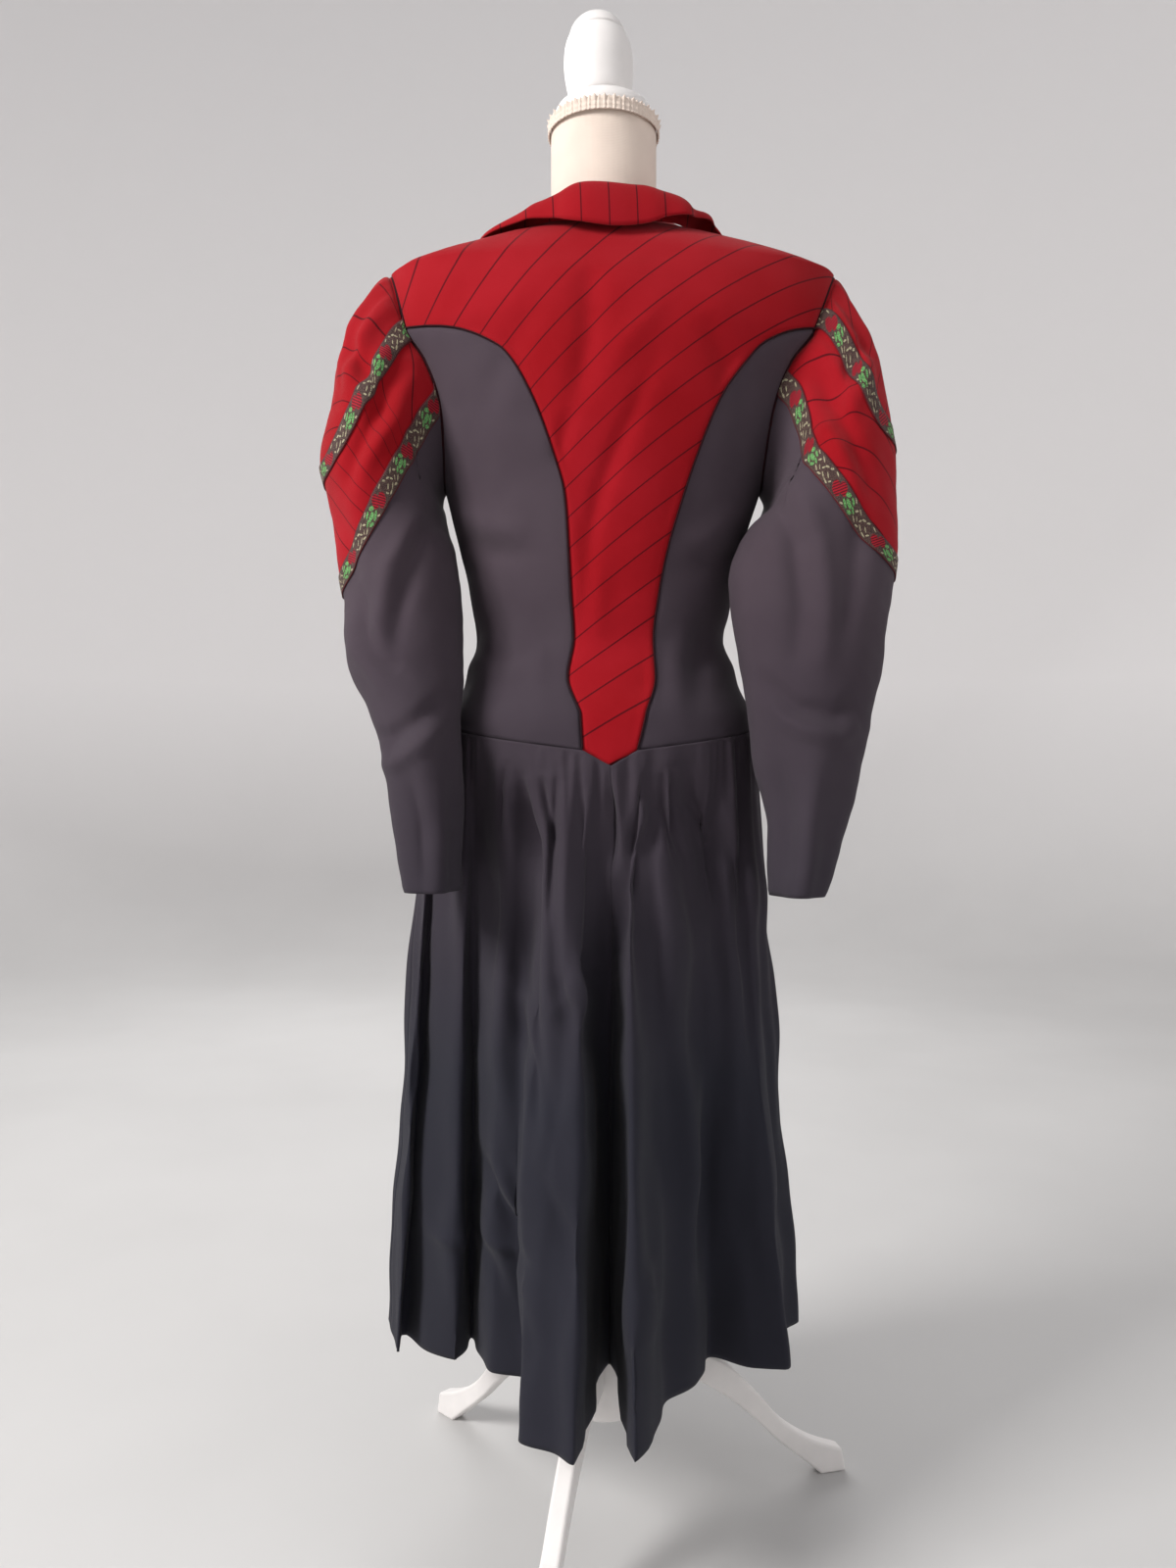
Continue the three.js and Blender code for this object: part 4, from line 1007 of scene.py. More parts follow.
def sleeve_shell(name, label, side, places, material, lift=0.0, wall=CLOTH_WALL, fields=None,
                 closed=False, seam_dip=SEAM_DIP):
    """A piece of the sleeve on a grid of places, its edges turned in at the seams."""
    surface = make_sleeve(label, side)
    turn, along = places[..., 0], places[..., 1]
    form = surface(turn, along)
    normals = normals_of(surface, turn, along)
    relief = sleeve_relief(label, turn, along, form) * smooth_step(along, 0.0, 0.06)
    down = lengths_along(form, 0)
    rim = np.minimum(down, down[-1:] - down) if closed else rim_distance(form)
    out = relief + lift - seam_dip * np.exp(-((rim / SEAM_WIDTH) ** 2))
    points = form + normals * out[..., None]
    values = fields(points) if fields else None
    return grid_mesh(name, points, material, closed=closed, fields=values, outside=normals,
                     wall=wall)


print("sleeve creases:", {key: len(rows) for key, rows in SLEEVE_CREASES.items()})

# %% [markdown]
# ## Flowered ribbon
# The ribbon is woven on a dark ground with roses, leaves and fine cream strokes. The shader draws
# each motif as an ellipse in the ribbon's own measure, in millimetres along it and across it.

# %% Ribbon finish
RIBBON_REPEAT, MOTIF_REACH = 62.0, 9.0
# place along and across the ribbon, half length, half width, slant
ROSES = [(6, 1.6, 5.8, 5.0, 0.2), (14, -2.8, 5.4, 4.6, -0.2)]
LEAVES = [
    (21, 3.4, 4.4, 1.8, 0.5), (22, -3.6, 4.0, 1.7, -0.5), (26, 0.4, 4.8, 2.1, 0.1),
    (29, 4.8, 3.6, 1.5, -0.4), (30, -4.0, 3.4, 1.5, 0.4), (33, 0.6, 3.2, 1.4, 0.6),
]
STROKES = [
    (37, 4.2, 2.8, 0.8, 0.5), (38, -2.4, 3.0, 0.9, -0.7), (41, 1.6, 2.6, 0.8, 1.0),
    (43, 5.4, 2.6, 0.8, -0.3), (43, -5.0, 2.8, 0.8, 0.5), (46, -0.6, 3.0, 0.9, -0.9),
    (48, 3.6, 2.8, 0.8, 0.6), (50, -3.6, 2.6, 0.8, -0.4), (53, 5.6, 2.6, 0.8, 0.2),
    (54, 0.6, 2.8, 0.9, 0.8), (56, -5.4, 2.6, 0.8, -0.6), (58, 3.2, 2.6, 0.8, -0.8),
    (2, -6.2, 2.4, 0.8, 0.3), (17, 6.0, 2.4, 0.8, -0.4), (33, -6.6, 2.4, 0.8, 0.4),
]


def make_ribbon():
    """Each repeat has two roses, a spray of leaves and a cluster of cream strokes: ellipses
    whose outlines a noise roughens, on a brown ground."""
    shader = Shader("flower_ribbon", roughness=0.75, sheen=0.05, specular=0.2)
    along, across = shader.field("ribbon_along"), shader.field("ribbon_across") * MOTIF_REACH
    place = (along / RIBBON_REPEAT).part() * RIBBON_REPEAT
    rough = (shader.noise(520.0, 2.0) - 0.5) * 1.1
    fine = shader.noise(1100.0, 2.0)
    colour = shader.mix(fine.ramp(0.42, 0.62), rgb(52, 36, 35), rgb(90, 70, 64))
    green = shader.mix(fine.ramp(0.4, 0.6), rgb(48, 104, 54), rgb(118, 172, 104))
    petals = ((along + across) * 2.4 + rough * 3.0).wave()
    red = shader.mix(petals.ramp(-0.4, 0.6), rgb(88, 8, 22), rgb(160, 18, 36))
    cream = shader.mix(fine.ramp(0.4, 0.6), rgb(128, 120, 98), rgb(178, 172, 142))
    for shapes, tone in ((STROKES, cream), (LEAVES, green), (ROSES, red)):
        for x, y, half_x, half_y, slant in shapes:
            dx, dy = place - x, across - y
            u, v = (dx + dy * slant) / half_x, (dy - dx * slant) / half_y
            colour = shader.mix((u * u + v * v + rough).ramp(1.15, 0.85), colour, tone)
    colour = shader.mix(abs(across).ramp(8.0, 8.4), colour, rgb(86, 14, 26))
    return shader.finish(colour, (along * 7.0).wave() * 0.3 + fine, strength=0.4, depth=0.0004)


FLOWER_RIBBON = make_ribbon()


# %% Sleeve pieces
SLEEVE_STRIPE_SPACING = 29


def sleeve_stripes(places, slant):
    """Straight stripes on the cloth as cut, counted across them: the distance along the sleeve
    and slant times the distance round it, by the stripes' spacing."""
    round_it, along = places[..., 0] * SLEEVE_SCALE[0], places[..., 1] * SLEEVE_SCALE[1]
    across = (round_it * slant + along) / math.hypot(1, slant)
    return lambda points: {"stripe": across / SLEEVE_STRIPE_SPACING + STRIPE_START}


def ribbon_fields(points):
    """Distance along the ribbon from its tip, and place across it from -1 to 1."""
    walked = lengths_along(points, 1)
    middle = walked[:, walked.shape[1] // 2][:, None]
    across = np.linspace(-1, 1, points.shape[0])[:, None]
    return {"ribbon_along": walked - middle + 1000,
            "ribbon_across": np.broadcast_to(across, walked.shape)}


SLEEVE_CUTS = {
    # finish, width, length, area
    "sleeve_cap": ("red_cotton", 0.32, 0.22, 0.032),
    "sleeve_band": ("red_cotton", 0.56, 0.14, 0.041),
    "sleeve_lower": ("grey_cotton", 0.40, 0.62, 0.133),
    "ribbon_upper": ("flower_ribbon", 0.40, 0.018, None),
    "ribbon_lower": ("flower_ribbon", 0.62, 0.018, None),
}
SLEEVE_SIDES = (
    # label, side, slant of the stripes on the cap and on the band
    ("left", 1, -0.41, 0.75), ("right", -1, 0.8, -1.1),
)


def cut_sleeve(kind, label, side, places, material, **more):
    """One piece of a sleeve, which stands for the node of the same name."""
    name = f"{kind}_{label}"
    piece = sleeve_shell(name + "_cloth", label, side, places, material, **more)
    slot, width, length, area = SLEEVE_CUTS[kind]
    stand_for(piece, slot, name)


for label, side, cap_slant, band_slant in SLEEVE_SIDES:
    cap, band = cap_places(label, 70, 60), band_places(label, 36, 180)
    cut_sleeve("sleeve_cap", label, side, cap, RED_COTTON,
               fields=sleeve_stripes(cap, cap_slant))
    cut_sleeve("sleeve_band", label, side, band, RED_COTTON,
               fields=sleeve_stripes(band, band_slant))
    cut_sleeve("sleeve_lower", label, side, lower_places(label, 120, 144), GREY_COTTON,
               closed=True)
    for which, kind in enumerate(("ribbon_upper", "ribbon_lower")):
        cut_sleeve(kind, label, side, ribbon_places(label, which, 9, 200), FLOWER_RIBBON,
                   lift=1.4, wall=0.8, fields=ribbon_fields, seam_dip=0)
print("sleeve pieces:", 2 * len(SLEEVE_CUTS))

# %% [markdown]
# ## Collar
# The collar is one strip. It stands up from the neckline, rolls over and falls outwards. At every
# station round the neck its section is a Bézier curve from the foot over the roll to the edge.

# %% Collar
COLLAR_STATIONS = smooth_table([
    # station, angle and heights under the edge left and right, its lift left and right, rise of
    # the roll, uprightness
    [-0.08, -13, 1275, 1275, 9, 9, 49, 1],
    [0, 0, 1270, 1270, 8, 8, 53, 1],
    [0.08, 13, 1275, 1275, 9, 9, 49, 1],
    [0.15, 26, 1283, 1283, 9, 10, 35, 1],
    [0.22, 38, 1285, 1285, 8, 10, 24, 1],
    [0.3, 50, 1286, 1287, 6, 10, 17, 1],
    [0.42, 84, 1282, 1290, 6, 11, 12, 0.8],
    [0.5, 138, 1270, 1270, 6, 7, 10, 0.5],
    [0.6, 153, 1246, 1246, 4, 4, 8, 0.2],
    [0.8, 163.5, 1202, 1202, 3, 3, 6, 0],
    [1, 175.5, 1174, 1174, 3, 3, 3, 0],
])
UP = np.array([0.0, 0.0, 1.0])
SHOULDER_STATION, NECKLINE_SHARE = 0.42, 0.97
FOOT_BELOW, FOOT_INSIDE = 5, 1.8


def collar(station, across):
    """Foot, raised foot, raised edge and edge are the four points of the section's curve."""
    side = np.where(station < 0, -1, 1)
    reach = np.clip(np.abs(station), 0, 1)
    angle, high_left, high_right, left, right, rise, upright = COLLAR_STATIONS(reach)
    height = np.where(side > 0, high_left, high_right)
    front = np.clip((reach - SHOULDER_STATION) / (1 - SHOULDER_STATION), 0, 1) * NECKLINE_SHARE
    at_back = reach < SHOULDER_STATION
    front_neck = np.where(side[..., None] > 0, neck_place(front, 1), neck_place(front, -1))
    neck_angle = np.where(at_back, 90 * station / SHOULDER_STATION, front_neck[..., 0])
    neck_height = np.where(at_back, NECK_HEIGHT, front_neck[..., 1])
    under_angle = side * angle
    foot_way = normals_of(bodice, neck_angle, neck_height)
    edge_way = normals_of(bodice, under_angle, height)
    foot = bodice(neck_angle, neck_height - FOOT_BELOW) - FOOT_INSIDE * foot_way
    edge = bodice(under_angle, height) + np.where(side > 0, left, right)[..., None] * edge_way

    def raised(start, way):
        up = upright[..., None]
        return start + unit(way * (1 - up) + UP * up) * rise[..., None]

    t = across[..., None]
    return ((1 - t) ** 3 * foot + 3 * t * (1 - t) ** 2 * raised(foot, foot_way)
            + 3 * t**2 * (1 - t) * raised(edge, edge_way) + t**3 * edge)


set_surface(collar, 1, 1, 1)
COLLAR_STRIPE_SPACING = 27
COLLAR_WAVES = [
    # station, lift of the edge, width
    (-0.42, 3, 0.05), (-0.3, -3, 0.05), (-0.2, 5, 0.05), (-0.06, -3, 0.05), (0.06, 2, 0.05),
    (0.16, -2, 0.04), (0.26, 3, 0.05), (0.36, -1.5, 0.05), (0.46, 2, 0.05),
]
station, across = np.meshgrid(np.linspace(-1, 1, 240), np.linspace(0, 1, 32))
collar_form = collar(station, across)
collar_ways = normals_of(collar, station, across)
wave = sum(lift * np.exp(-(((station - at) / width) ** 2)) for at, lift, width in COLLAR_WAVES)
out = wave * across**1.5 + across * unevenness(collar_form, 40, 0.7, 8)
collar_points = collar_form + collar_ways * out[..., None]
collar_stripe = (collar_points[..., 0] / COLLAR_STRIPE_SPACING + 0.14 * across
                 + STRIPE_START + 0.5)
collar_piece = grid_mesh("collar_cloth", collar_points, RED_COTTON, outside=collar_ways,
                         fields={"stripe": collar_stripe}, wall=1.4)
stand_for(collar_piece, "red_cotton", "collar")
print("collar made")

# %% [markdown]
# ## Skirt
# Four gores hang from the waist seam in deep folds. The folds are set at the hem, by a table of
# ridges and troughs, and every thread runs from its place at the waist to its place at the hem.
# Small gathers crowd at the seam and die out by the knee.

# %% Skirt form
HEM_FOLDS = [
    # angle at the waist, x and y at the hem
    (-2, -4, 55), (7, 29, 232), (13, 45, 214), (22, 79, 190), (31, 78, 82), (37, 110, 72),
    (49, 136, 0), (55, 147, 50), (76, 205, -4), (82, 206, 31), (91, 230, -43), (106, 190, -70),
    (115, 205, -120), (127, 140, -115), (139, 138, -175), (151, 88, -130), (160, 85, -205),
    (169, 35, -130), (178, 15, -215), (190, -25, -135), (199, -60, -210), (208, -85, -130),
    (220, -125, -190), (229, -125, -120), (241, -180, -140), (253, -165, -85), (265, -208, -75),
    (271, -190, -50), (277, -205, -40), (292, -184, -10), (304, -174, 64), (313, -144, 62),
    (325, -104, 44), (334, -86, 95), (343, -55, 126), (347, -50, 152), (352, -22, 228),
]
HEM = smooth_table([(angle + turn, x, y) for turn in (-360, 0, 360) for angle, x, y in HEM_FOLDS])
FLARE = smooth_table([
    # angle, how soon the skirt spreads on its way down
    (-182, 0.8), (-90, 1.1), (-2, 1.15), (55, 0.85), (90, 0.6), (130, 0.75), (178, 0.8),
])
GATHER_DEPTH = smooth_table([(0, 1.5), (0.1, 5), (0.2, 4.5), (0.4, 2), (0.6, 0)])
HEM_HEIGHT = 170


def skirt(angle, fall):
    """From the waist seam (fall 0) to the hem (1) by fall to the power of the flare. About thirty
    gathers are pushed out from the middle of the waist, unevenly spaced and unevenly deep."""
    angle, fall = np.broadcast_arrays(angle, fall)
    turned = (angle + 182) % 360 - 182
    height = waist_height(angle)
    waist = bodice(angle, height)
    hem_x, hem_y = HEM(turned)
    (power,) = FLARE(turned)
    spreading = np.clip(fall, 0, None) ** power
    _, _, _, middle, _ = BODICE_RINGS(waist[..., 2])
    outward = unit(waist - stack(middle, 0 * middle, waist[..., 2]))
    (depth,) = GATHER_DEPTH(fall)
    turn = np.radians(angle - CENTRE_ANGLE)
    wave = np.cos(30 * turn + 1.6 * np.sin(4 * turn + 0.7) + 1.1 * np.sin(7 * turn))
    wave = wave * (0.4 + 0.45 * np.sin(5 * turn + 2.3) * np.cos(3 * turn))
    hung = stack(waist[..., 0] + (hem_x - waist[..., 0]) * spreading,
                 waist[..., 1] + (hem_y - waist[..., 1]) * spreading,
                 waist[..., 2] + (HEM_HEIGHT - waist[..., 2]) * fall)
    return hung + outward * (wave * depth)[..., None]


set_surface(skirt, 60, 1, 1)

# %% Skirt creases
SKIRT_CREASES = [
    # height, width, lean, line of (x, z) seen from behind
    (9, 11, 0.3, [(38, 742), (36, 700), (35, 620), (34, 568), (18, 542), (4, 518)]),
    (-6, 8, -0.4, [(52, 745), (50, 700), (50, 620), (46, 560), (36, 520)]),
    (-7, 9, 0.4, [(60, 747), (65, 647), (67, 540), (54, 464)]),
    (-6, 8, 0.4, [(86, 721), (76, 690), (66, 647)]),
    (-6, 9, 0.3, [(102, 735), (100, 650), (99, 579)]),
    (-7, 9, -0.4, [(-38, 747), (-44, 702), (-30, 655), (-12, 612)]),
    (-6, 9, -0.4, [(-61, 747), (-82, 700), (-91, 670), (-92, 620)]),
    (-6, 10, -0.3, [(-76, 747), (-123, 656), (-136, 558), (-144, 445)]),
    (4, 8, 0.4, [(101, 375), (90, 348), (77, 325)]),
    (-4, 7, 0.4, [(112, 368), (98, 338), (82, 312)]),
    (3.5, 7, 0.3, [(182, 292), (155, 292), (133, 288)]),
    (3.5, 7, 0.4, [(119, 303), (96, 296), (72, 294)]),
    (-5, 11, 0.3, [(-103, 474), (-98, 360), (-96, 260)]),
    (5, 11, 0.3, [(58, 740), (54, 690), (52, 600), (54, 520), (50, 430), (60, 300), (66, 200)]),
    (-6, 10, 0.3, [(78, 742), (76, 690), (72, 630), (78, 560), (72, 480)]),
    (-7, 12, -0.3, [(22, 730), (18, 660), (14, 590), (12, 520), (6, 430)]),
    (-6, 10, 0.3, [(-22, 735), (-26, 690), (-34, 640), (-36, 560), (-42, 480)]),
    (5, 11, -0.3, [(-44, 745), (-44, 690), (-54, 610), (-60, 520), (-72, 420)]),
    (-5, 9, 0.3, [(-66, 745), (-68, 690), (-72, 650), (-80, 590)]),
    (5, 10, 0.3, [(100, 745), (104, 700), (100, 640), (94, 560), (98, 480), (90, 400)]),
    (-5, 9, 0.3, [(118, 735), (120, 690), (112, 630), (110, 560)]),
    (-5, 10, 0.2, [(-92, 745), (-100, 690), (-98, 620), (-108, 540)]),
    (3.5, 10, 0.4, [(46, 540), (34, 500), (30, 460), (38, 420), (34, 360), (42, 300)]),
    (-3.5, 9, 0.4, [(66, 500), (50, 470), (44, 430), (52, 390), (60, 340)]),
    (3, 8, 0.3, [(26, 560), (40, 535), (54, 528)]),
    (-3, 9, -0.4, [(70, 400), (52, 380), (40, 350), (34, 300), (40, 250)]),
    (3, 9, 0.4, [(118, 330), (100, 300), (92, 270), (86, 240)]),
    (-3, 8, 0.3, [(128, 300), (108, 276), (96, 250)]),
    (2.6, 12, 0.3, [(146, 420), (140, 350), (150, 280), (142, 220)]),
    (3, 12, 0.3, [(-84, 500), (-90, 420), (-84, 340), (-98, 260)]),
    (-3, 12, 0.3, [(-124, 520), (-136, 420), (-134, 320), (-150, 230)]),
    (3, 9, 0.4, [(-44, 320), (-34, 290), (-40, 250)]),
    (-2.5, 8, 0.4, [(70, 280), (64, 250), (72, 215)]),
    # pinched gathers that start at the waist seam
    (-6, 4.5, 0.5, [(79, 742), (79, 729), (76, 663)]),
    (-6, 4.5, -0.5, [(63, 746), (60, 722), (48, 678)]),
    (-6, 4.5, 0.5, [(42, 750), (48, 696), (52, 612)]),
    (-7, 5, 0.5, [(24, 742), (22, 678), (21, 590), (4, 554)]),
    (-6, 4.5, 0.5, [(-3, 735), (-6, 700), (-5, 660)]),
    (-7, 5, -0.5, [(-36, 744), (-25, 700), (-10, 641), (-8, 583)]),
    (-6, 4.5, 0.5, [(-54, 748), (-52, 714), (-65, 667)]),
    (-5, 4.5, 0.5, [(-64, 748), (-68, 692), (-76, 667)]),
    (-6, 5, 0.5, [(-76, 752), (-83, 721), (-105, 678), (-114, 605)]),
    (-5, 4.5, -0.5, [(95, 752), (102, 732), (104, 690)]),
    (3.5, 6, 0.5, [(88, 560), (70, 520), (62, 490)]),
    (-3.5, 6, 0.5, [(84, 520), (64, 470), (58, 430)]),
    (-4, 7, 0.5, [(120, 380), (104, 344), (84, 322), (66, 312)]),
]


def skirt_relief(angle, fall, points, ways):
    """Creases on the back, long slack waves that grow from the waist, fine gathers just under
    the seam, and slow unevenness."""
    behind = smooth_step(ways[..., 1], -0.2, 0.4) * smooth_step(points[..., 1], -20, 60)
    lift = 1.25 * crease_height(points[..., [0, 2]], SKIRT_CREASES) * behind
    aside = crease_height(points[..., [0, 2]] * [-1.1, 1.0] + [10, 0], SKIRT_CREASES)
    lift += aside * smooth_step(-ways[..., 1], -0.2, 0.4) * smooth_step(-points[..., 1], 0, 60)
    seam = smooth_step(fall, 0, 0.012) * (1 - smooth_step(fall, 0.02, 0.16))
    turn = np.radians(angle)
    fine = (np.cos(61 * turn + 3 * np.sin(5 * turn))
            + 0.7 * np.cos(97 * turn + 2 * np.sin(7 * turn)))
    lift += 0.9 * seam * fine * (0.5 + 0.5 * np.sin(6 * turn + 1))
    middle = smooth_step(fall, 0.02, 0.2) * (1 - smooth_step(fall, 0.5, 0.95))
    lift += 1.2 * middle * np.cos(37 * turn + 3 * np.sin(3 * turn) + 2 * fall)
    slow = smooth_step(fall, 0.03, 0.3)
    long_points = points * [1, 1, 0.3]
    return (lift + slow * unevenness(long_points, 36, 2.2, 9)
            + slow * unevenness(points, 45, 1.2, 10))


GORES = {"skirt_back_left": 0, "skirt_front_left": 90, "skirt_front_right": 180,
         "skirt_back_right": 270}
for name, start in GORES.items():
    angle, fall = np.meshgrid(
        CENTRE_ANGLE + start + np.linspace(0, 90, 160),
        np.concatenate([np.linspace(0, 0.1, 30)[:-1], np.linspace(0.1, 1, 115)]))
    form = skirt(angle, fall)
    ways = normals_of(skirt, angle, fall)
    points = form + ways * skirt_relief(angle, fall, form, ways)[..., None]
    piece = grid_mesh(f"{name}_cloth", points, GREY_COTTON, outside=ways, wall=CLOTH_WALL)
    stand_for(piece, "grey_cotton", name)
print("gores:", len(GORES))

# %% [markdown]
# ## Dress form
# The form is a foam body in a cream stretch cover, which an elastic edge draws in at the neck. A
# turned wooden cap and finial close the top. Only the neck shows.

# %% Form finishes
def make_cover():
    """Knitted cover: fine ribs along and across, and faint shadows of dirt."""
    shader = Shader("form_cover", roughness=0.85, sheen=0.1, specular=0.25)
    across, down = shader.cloth()
    knit = (across * 5.2).wave() * 0.5 + (down * 4.2).wave() * 0.5
    base = shader.mix(shader.noise(14.0, 4.0).ramp(0.35, 0.7), rgb(228, 212, 199),
                      rgb(214, 198, 186))
    return shader.finish(base, knit + shader.noise(260.0), strength=0.25, depth=0.0003)


def make_paint():
    """White paint over wood: a faint grain shows through, with small chips of tone."""
    shader = Shader("white_paint", roughness=0.36, specular=0.45)
    grain = shader.noise(24.0, 5.0)
    base = shader.mix(grain.ramp(0.3, 0.8), rgb(236, 232, 230), rgb(222, 219, 217))
    wear = shader.noise(60.0, 6.0).ramp(0.3, 0.7)
    return shader.finish(base, grain + wear * 0.3, strength=0.08, depth=0.0006,
                         roughness=wear * 0.18 + 0.3)


FORM_COVER, WHITE_PAINT = make_cover(), make_paint()


# %% Turned and skinned solids
def close_mesh(mesh):
    """Joins points that lie on each other and turns every face outward."""
    made = bmesh.new()
    made.from_mesh(mesh)
    bmesh.ops.remove_doubles(made, verts=made.verts, dist=1e-6)
    bmesh.ops.recalc_face_normals(made, faces=made.faces)
    made.to_mesh(mesh)
    made.free()


TURNED_SIDES = 96


def turned(name, profile, middle, material, slot, lean=0.0):
    """A profile of (radius, height) turned round an upright line, or one that leans to +X."""
    profile = np.array(profile, float)
    angle = np.linspace(0, 2 * np.pi, TURNED_SIDES, endpoint=False)[None, :]
    radius, height = profile[::-1, 0][:, None], profile[::-1, 1][:, None]
    x, y, z = radius * np.cos(angle), radius * np.sin(angle), height + 0 * angle
    x, z = x * math.cos(lean) + z * math.sin(lean), z * math.cos(lean) - x * math.sin(lean)
    piece = grid_mesh(name + "_turned", stack(x, y, z) + np.array(middle), material,
                      closed=True, outside=1)
    close_mesh(piece.data)
    return stand_for(piece, slot, name)


def rounded(rows, steps_between=6):
    """A profile through these rows, with smooth stretches between them."""
    rows = np.array(rows, float)
    key = np.arange(len(rows), dtype=float)
    curve = smooth_table(np.column_stack([key, rows]))
    fine = np.linspace(0, len(rows) - 1, (len(rows) - 1) * steps_between + 1)
    return np.moveaxis(curve(fine), 0, -1)


NECK_RIM, CAP_HEIGHT, FORM_MIDDLE, FORM_BOTTOM, COVER_SIZE = 1405, 22, 1, 640, 0.992
turned("neck_cap", rounded([(0, 0), (50, 0), (50.5, 1), (50.5, 7), (48, 14), (42, 19), (33, 22),
                            (0, 22)]),
       (FORM_MIDDLE, 0, NECK_RIM + 0.3), WHITE_PAINT, "white_paint")
turned("finial", rounded([(0, 0), (21, 0), (26, 0.6), (30, 3), (33, 14), (35.5, 36), (34, 54),
                          (29.5, 67), (27.6, 68.4), (27.5, 69.5), (28.2, 71), (25, 78), (17, 86),
                          (7, 89.5), (0, 90)]),
       (4, 0, NECK_RIM + CAP_HEIGHT + 1.8), WHITE_PAINT, "white_paint", lean=math.radians(3))
turned("pole", [(0, 166.3), (16.4, 166.3), (17, 167), (17, 400), (17, 639), (16.4, 639.7),
                (0, 639.7)], (0, 0, 0), WHITE_PAINT, "white_paint")
turned("hub", rounded([(0, 100), (30, 100), (33.6, 101.6), (35, 106), (35, 133), (35, 160),
                       (33.4, 164.4), (29, 166), (0, 166)]), (0, 0, 0), WHITE_PAINT,
       "white_paint")

FORM_RINGS = smooth_table([
    # height, half width, depth to the back, to the front
    (640, 100, 62, 58), (650, 132, 84, 76), (690, 148, 98, 84), (740, 148, 102, 82),
    (795, 140, 98, 80), (835, 126, 88, 74), (878, 115, 78, 70), (925, 120, 80, 76),
    (975, 131, 86, 90), (1030, 144, 90, 104), (1075, 149, 93, 103), (1110, 152, 94, 96),
    (1150, 157, 92, 84), (1184, 162, 88, 72), (1220, 170, 76, 56), (1240, 166, 69, 42),
    (1254, 150, 63, 38), (1266, 124, 58, 34), (1277, 92, 54, 32), (1287, 68, 51, 33),
    (1296, 57, 50, 38), (1312, 54, 51, 48), (1405, 54, 52, 52),
])
heights = np.concatenate([[NECK_RIM], np.linspace(NECK_RIM, FORM_BOTTOM, 150), [FORM_BOTTOM]])
half, back, front = [part[:, None] for part in FORM_RINGS(heights)]
shrink = np.ones(len(heights))
shrink[[0, -1]] = 0
angle = np.linspace(0, 2 * np.pi, 72, endpoint=False)[None, :]
depth = np.where(np.sin(angle) > 0, back, front)
size = shrink[:, None] * COVER_SIZE
form_points = stack(FORM_MIDDLE + half * np.cos(angle) * size, depth * np.sin(angle) * size,
                    heights[:, None] + 0 * angle)
form_piece = grid_mesh("form_body_padded", form_points, FORM_COVER, closed=True,
                       outside=stack(np.cos(angle) + 0 * depth, np.sin(angle) + 0 * depth, 0))
stand_for(form_piece, "form_cover", "form_body")
print("form skinned over", len(heights), "rings")

# %% [markdown]
# ## Elastic edge of the cover
# The cover's neck edge is turned over an elastic and sewn, which crimps it into fine gathers with
# a small ruffled lip.

# %% Neck frill
FRILL_RADIUS, FRILL_HEIGHT = 56.6, 13
turns, falls = np.meshgrid(np.linspace(0, 2 * np.pi, 560, endpoint=False), np.linspace(0, 1, 12))
lip = np.exp(-((falls / 0.16) ** 2))
seam_line = np.exp(-(((falls - 0.42) / 0.1) ** 2)) + np.exp(-(((falls - 0.8) / 0.1) ** 2))
crimp = 0.5 * np.cos(72 * turns) + 0.3 * np.cos(113 * turns + 1)
crimped = crimp * (1 - 0.5 * seam_line) + 1.2 * lip * np.cos(36 * turns) - 0.7 * seam_line
radius = FRILL_RADIUS + crimped
frill_points = stack(FORM_MIDDLE + radius * np.sin(turns), radius * np.cos(turns),
                     NECK_RIM + 1.5 + 0.8 * lip * np.cos(72 * turns) - FRILL_HEIGHT * falls)
frill = grid_mesh("neck_frill_cloth", frill_points, FORM_COVER, closed=True, wall=1.0,
                  outside=stack(np.sin(turns), np.cos(turns), 0))
stand_for(frill, "form_cover", "neck_frill")
print("frill made")

# %% [markdown]
# ## Legs
# Each leg is sawn from a board in an S and has its edges rounded over with a cutter.

# %% Legs
LEG_UPPER_EDGE = [(36, 164), (76, 156), (124, 134), (166, 94), (196, 60), (232, 36), (262, 24)]
LEG_LOWER_EDGE = [(238, 0), (212, 22), (188, 42), (156, 74), (116, 106), (76, 128), (36, 134)]
LEG_BOARD, LEG_ANGLES = 18, (75, 195, 315)


def leg(name, turn):
    """The outline of both edges, carried through the board and turned to its place."""
    outline = np.vstack([rounded(LEG_UPPER_EDGE), [[266, 0]], rounded(LEG_LOWER_EDGE)])
    count = len(outline)
    half = LEG_BOARD / 2
    angle = math.radians(turn)
    along = np.array([math.cos(angle), math.sin(angle), 0])
    aside = np.array([-math.sin(angle), math.cos(angle), 0])
    flat = outline[:, :1] * along + outline[:, 1:] * UP
    points = np.vstack([flat + aside * half, flat - aside * half]) + POLE_PLACE
    ring = np.arange(count)
    after = np.roll(ring, -1)
    walls = np.stack([ring, after, after + count, ring + count], -1).tolist()
    mesh = bpy.data.meshes.new(name)
    mesh.from_pydata((points * MM).tolist(), [],
                     [ring[::-1].tolist(), (ring + count).tolist(), *walls])
    close_mesh(mesh)
    mesh.materials.append(WHITE_PAINT)
    piece = bpy.data.objects.new(name + "_sawn", mesh)
    bpy.context.scene.collection.objects.link(piece)
    bevel = piece.modifiers.new("rounded", "BEVEL")
    bevel.width, bevel.segments, bevel.limit_method = 0.003, 3, "ANGLE"
    bevel.angle_limit = math.radians(50)
    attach(piece, "root")
    return stand_for(piece, "white_paint", name)


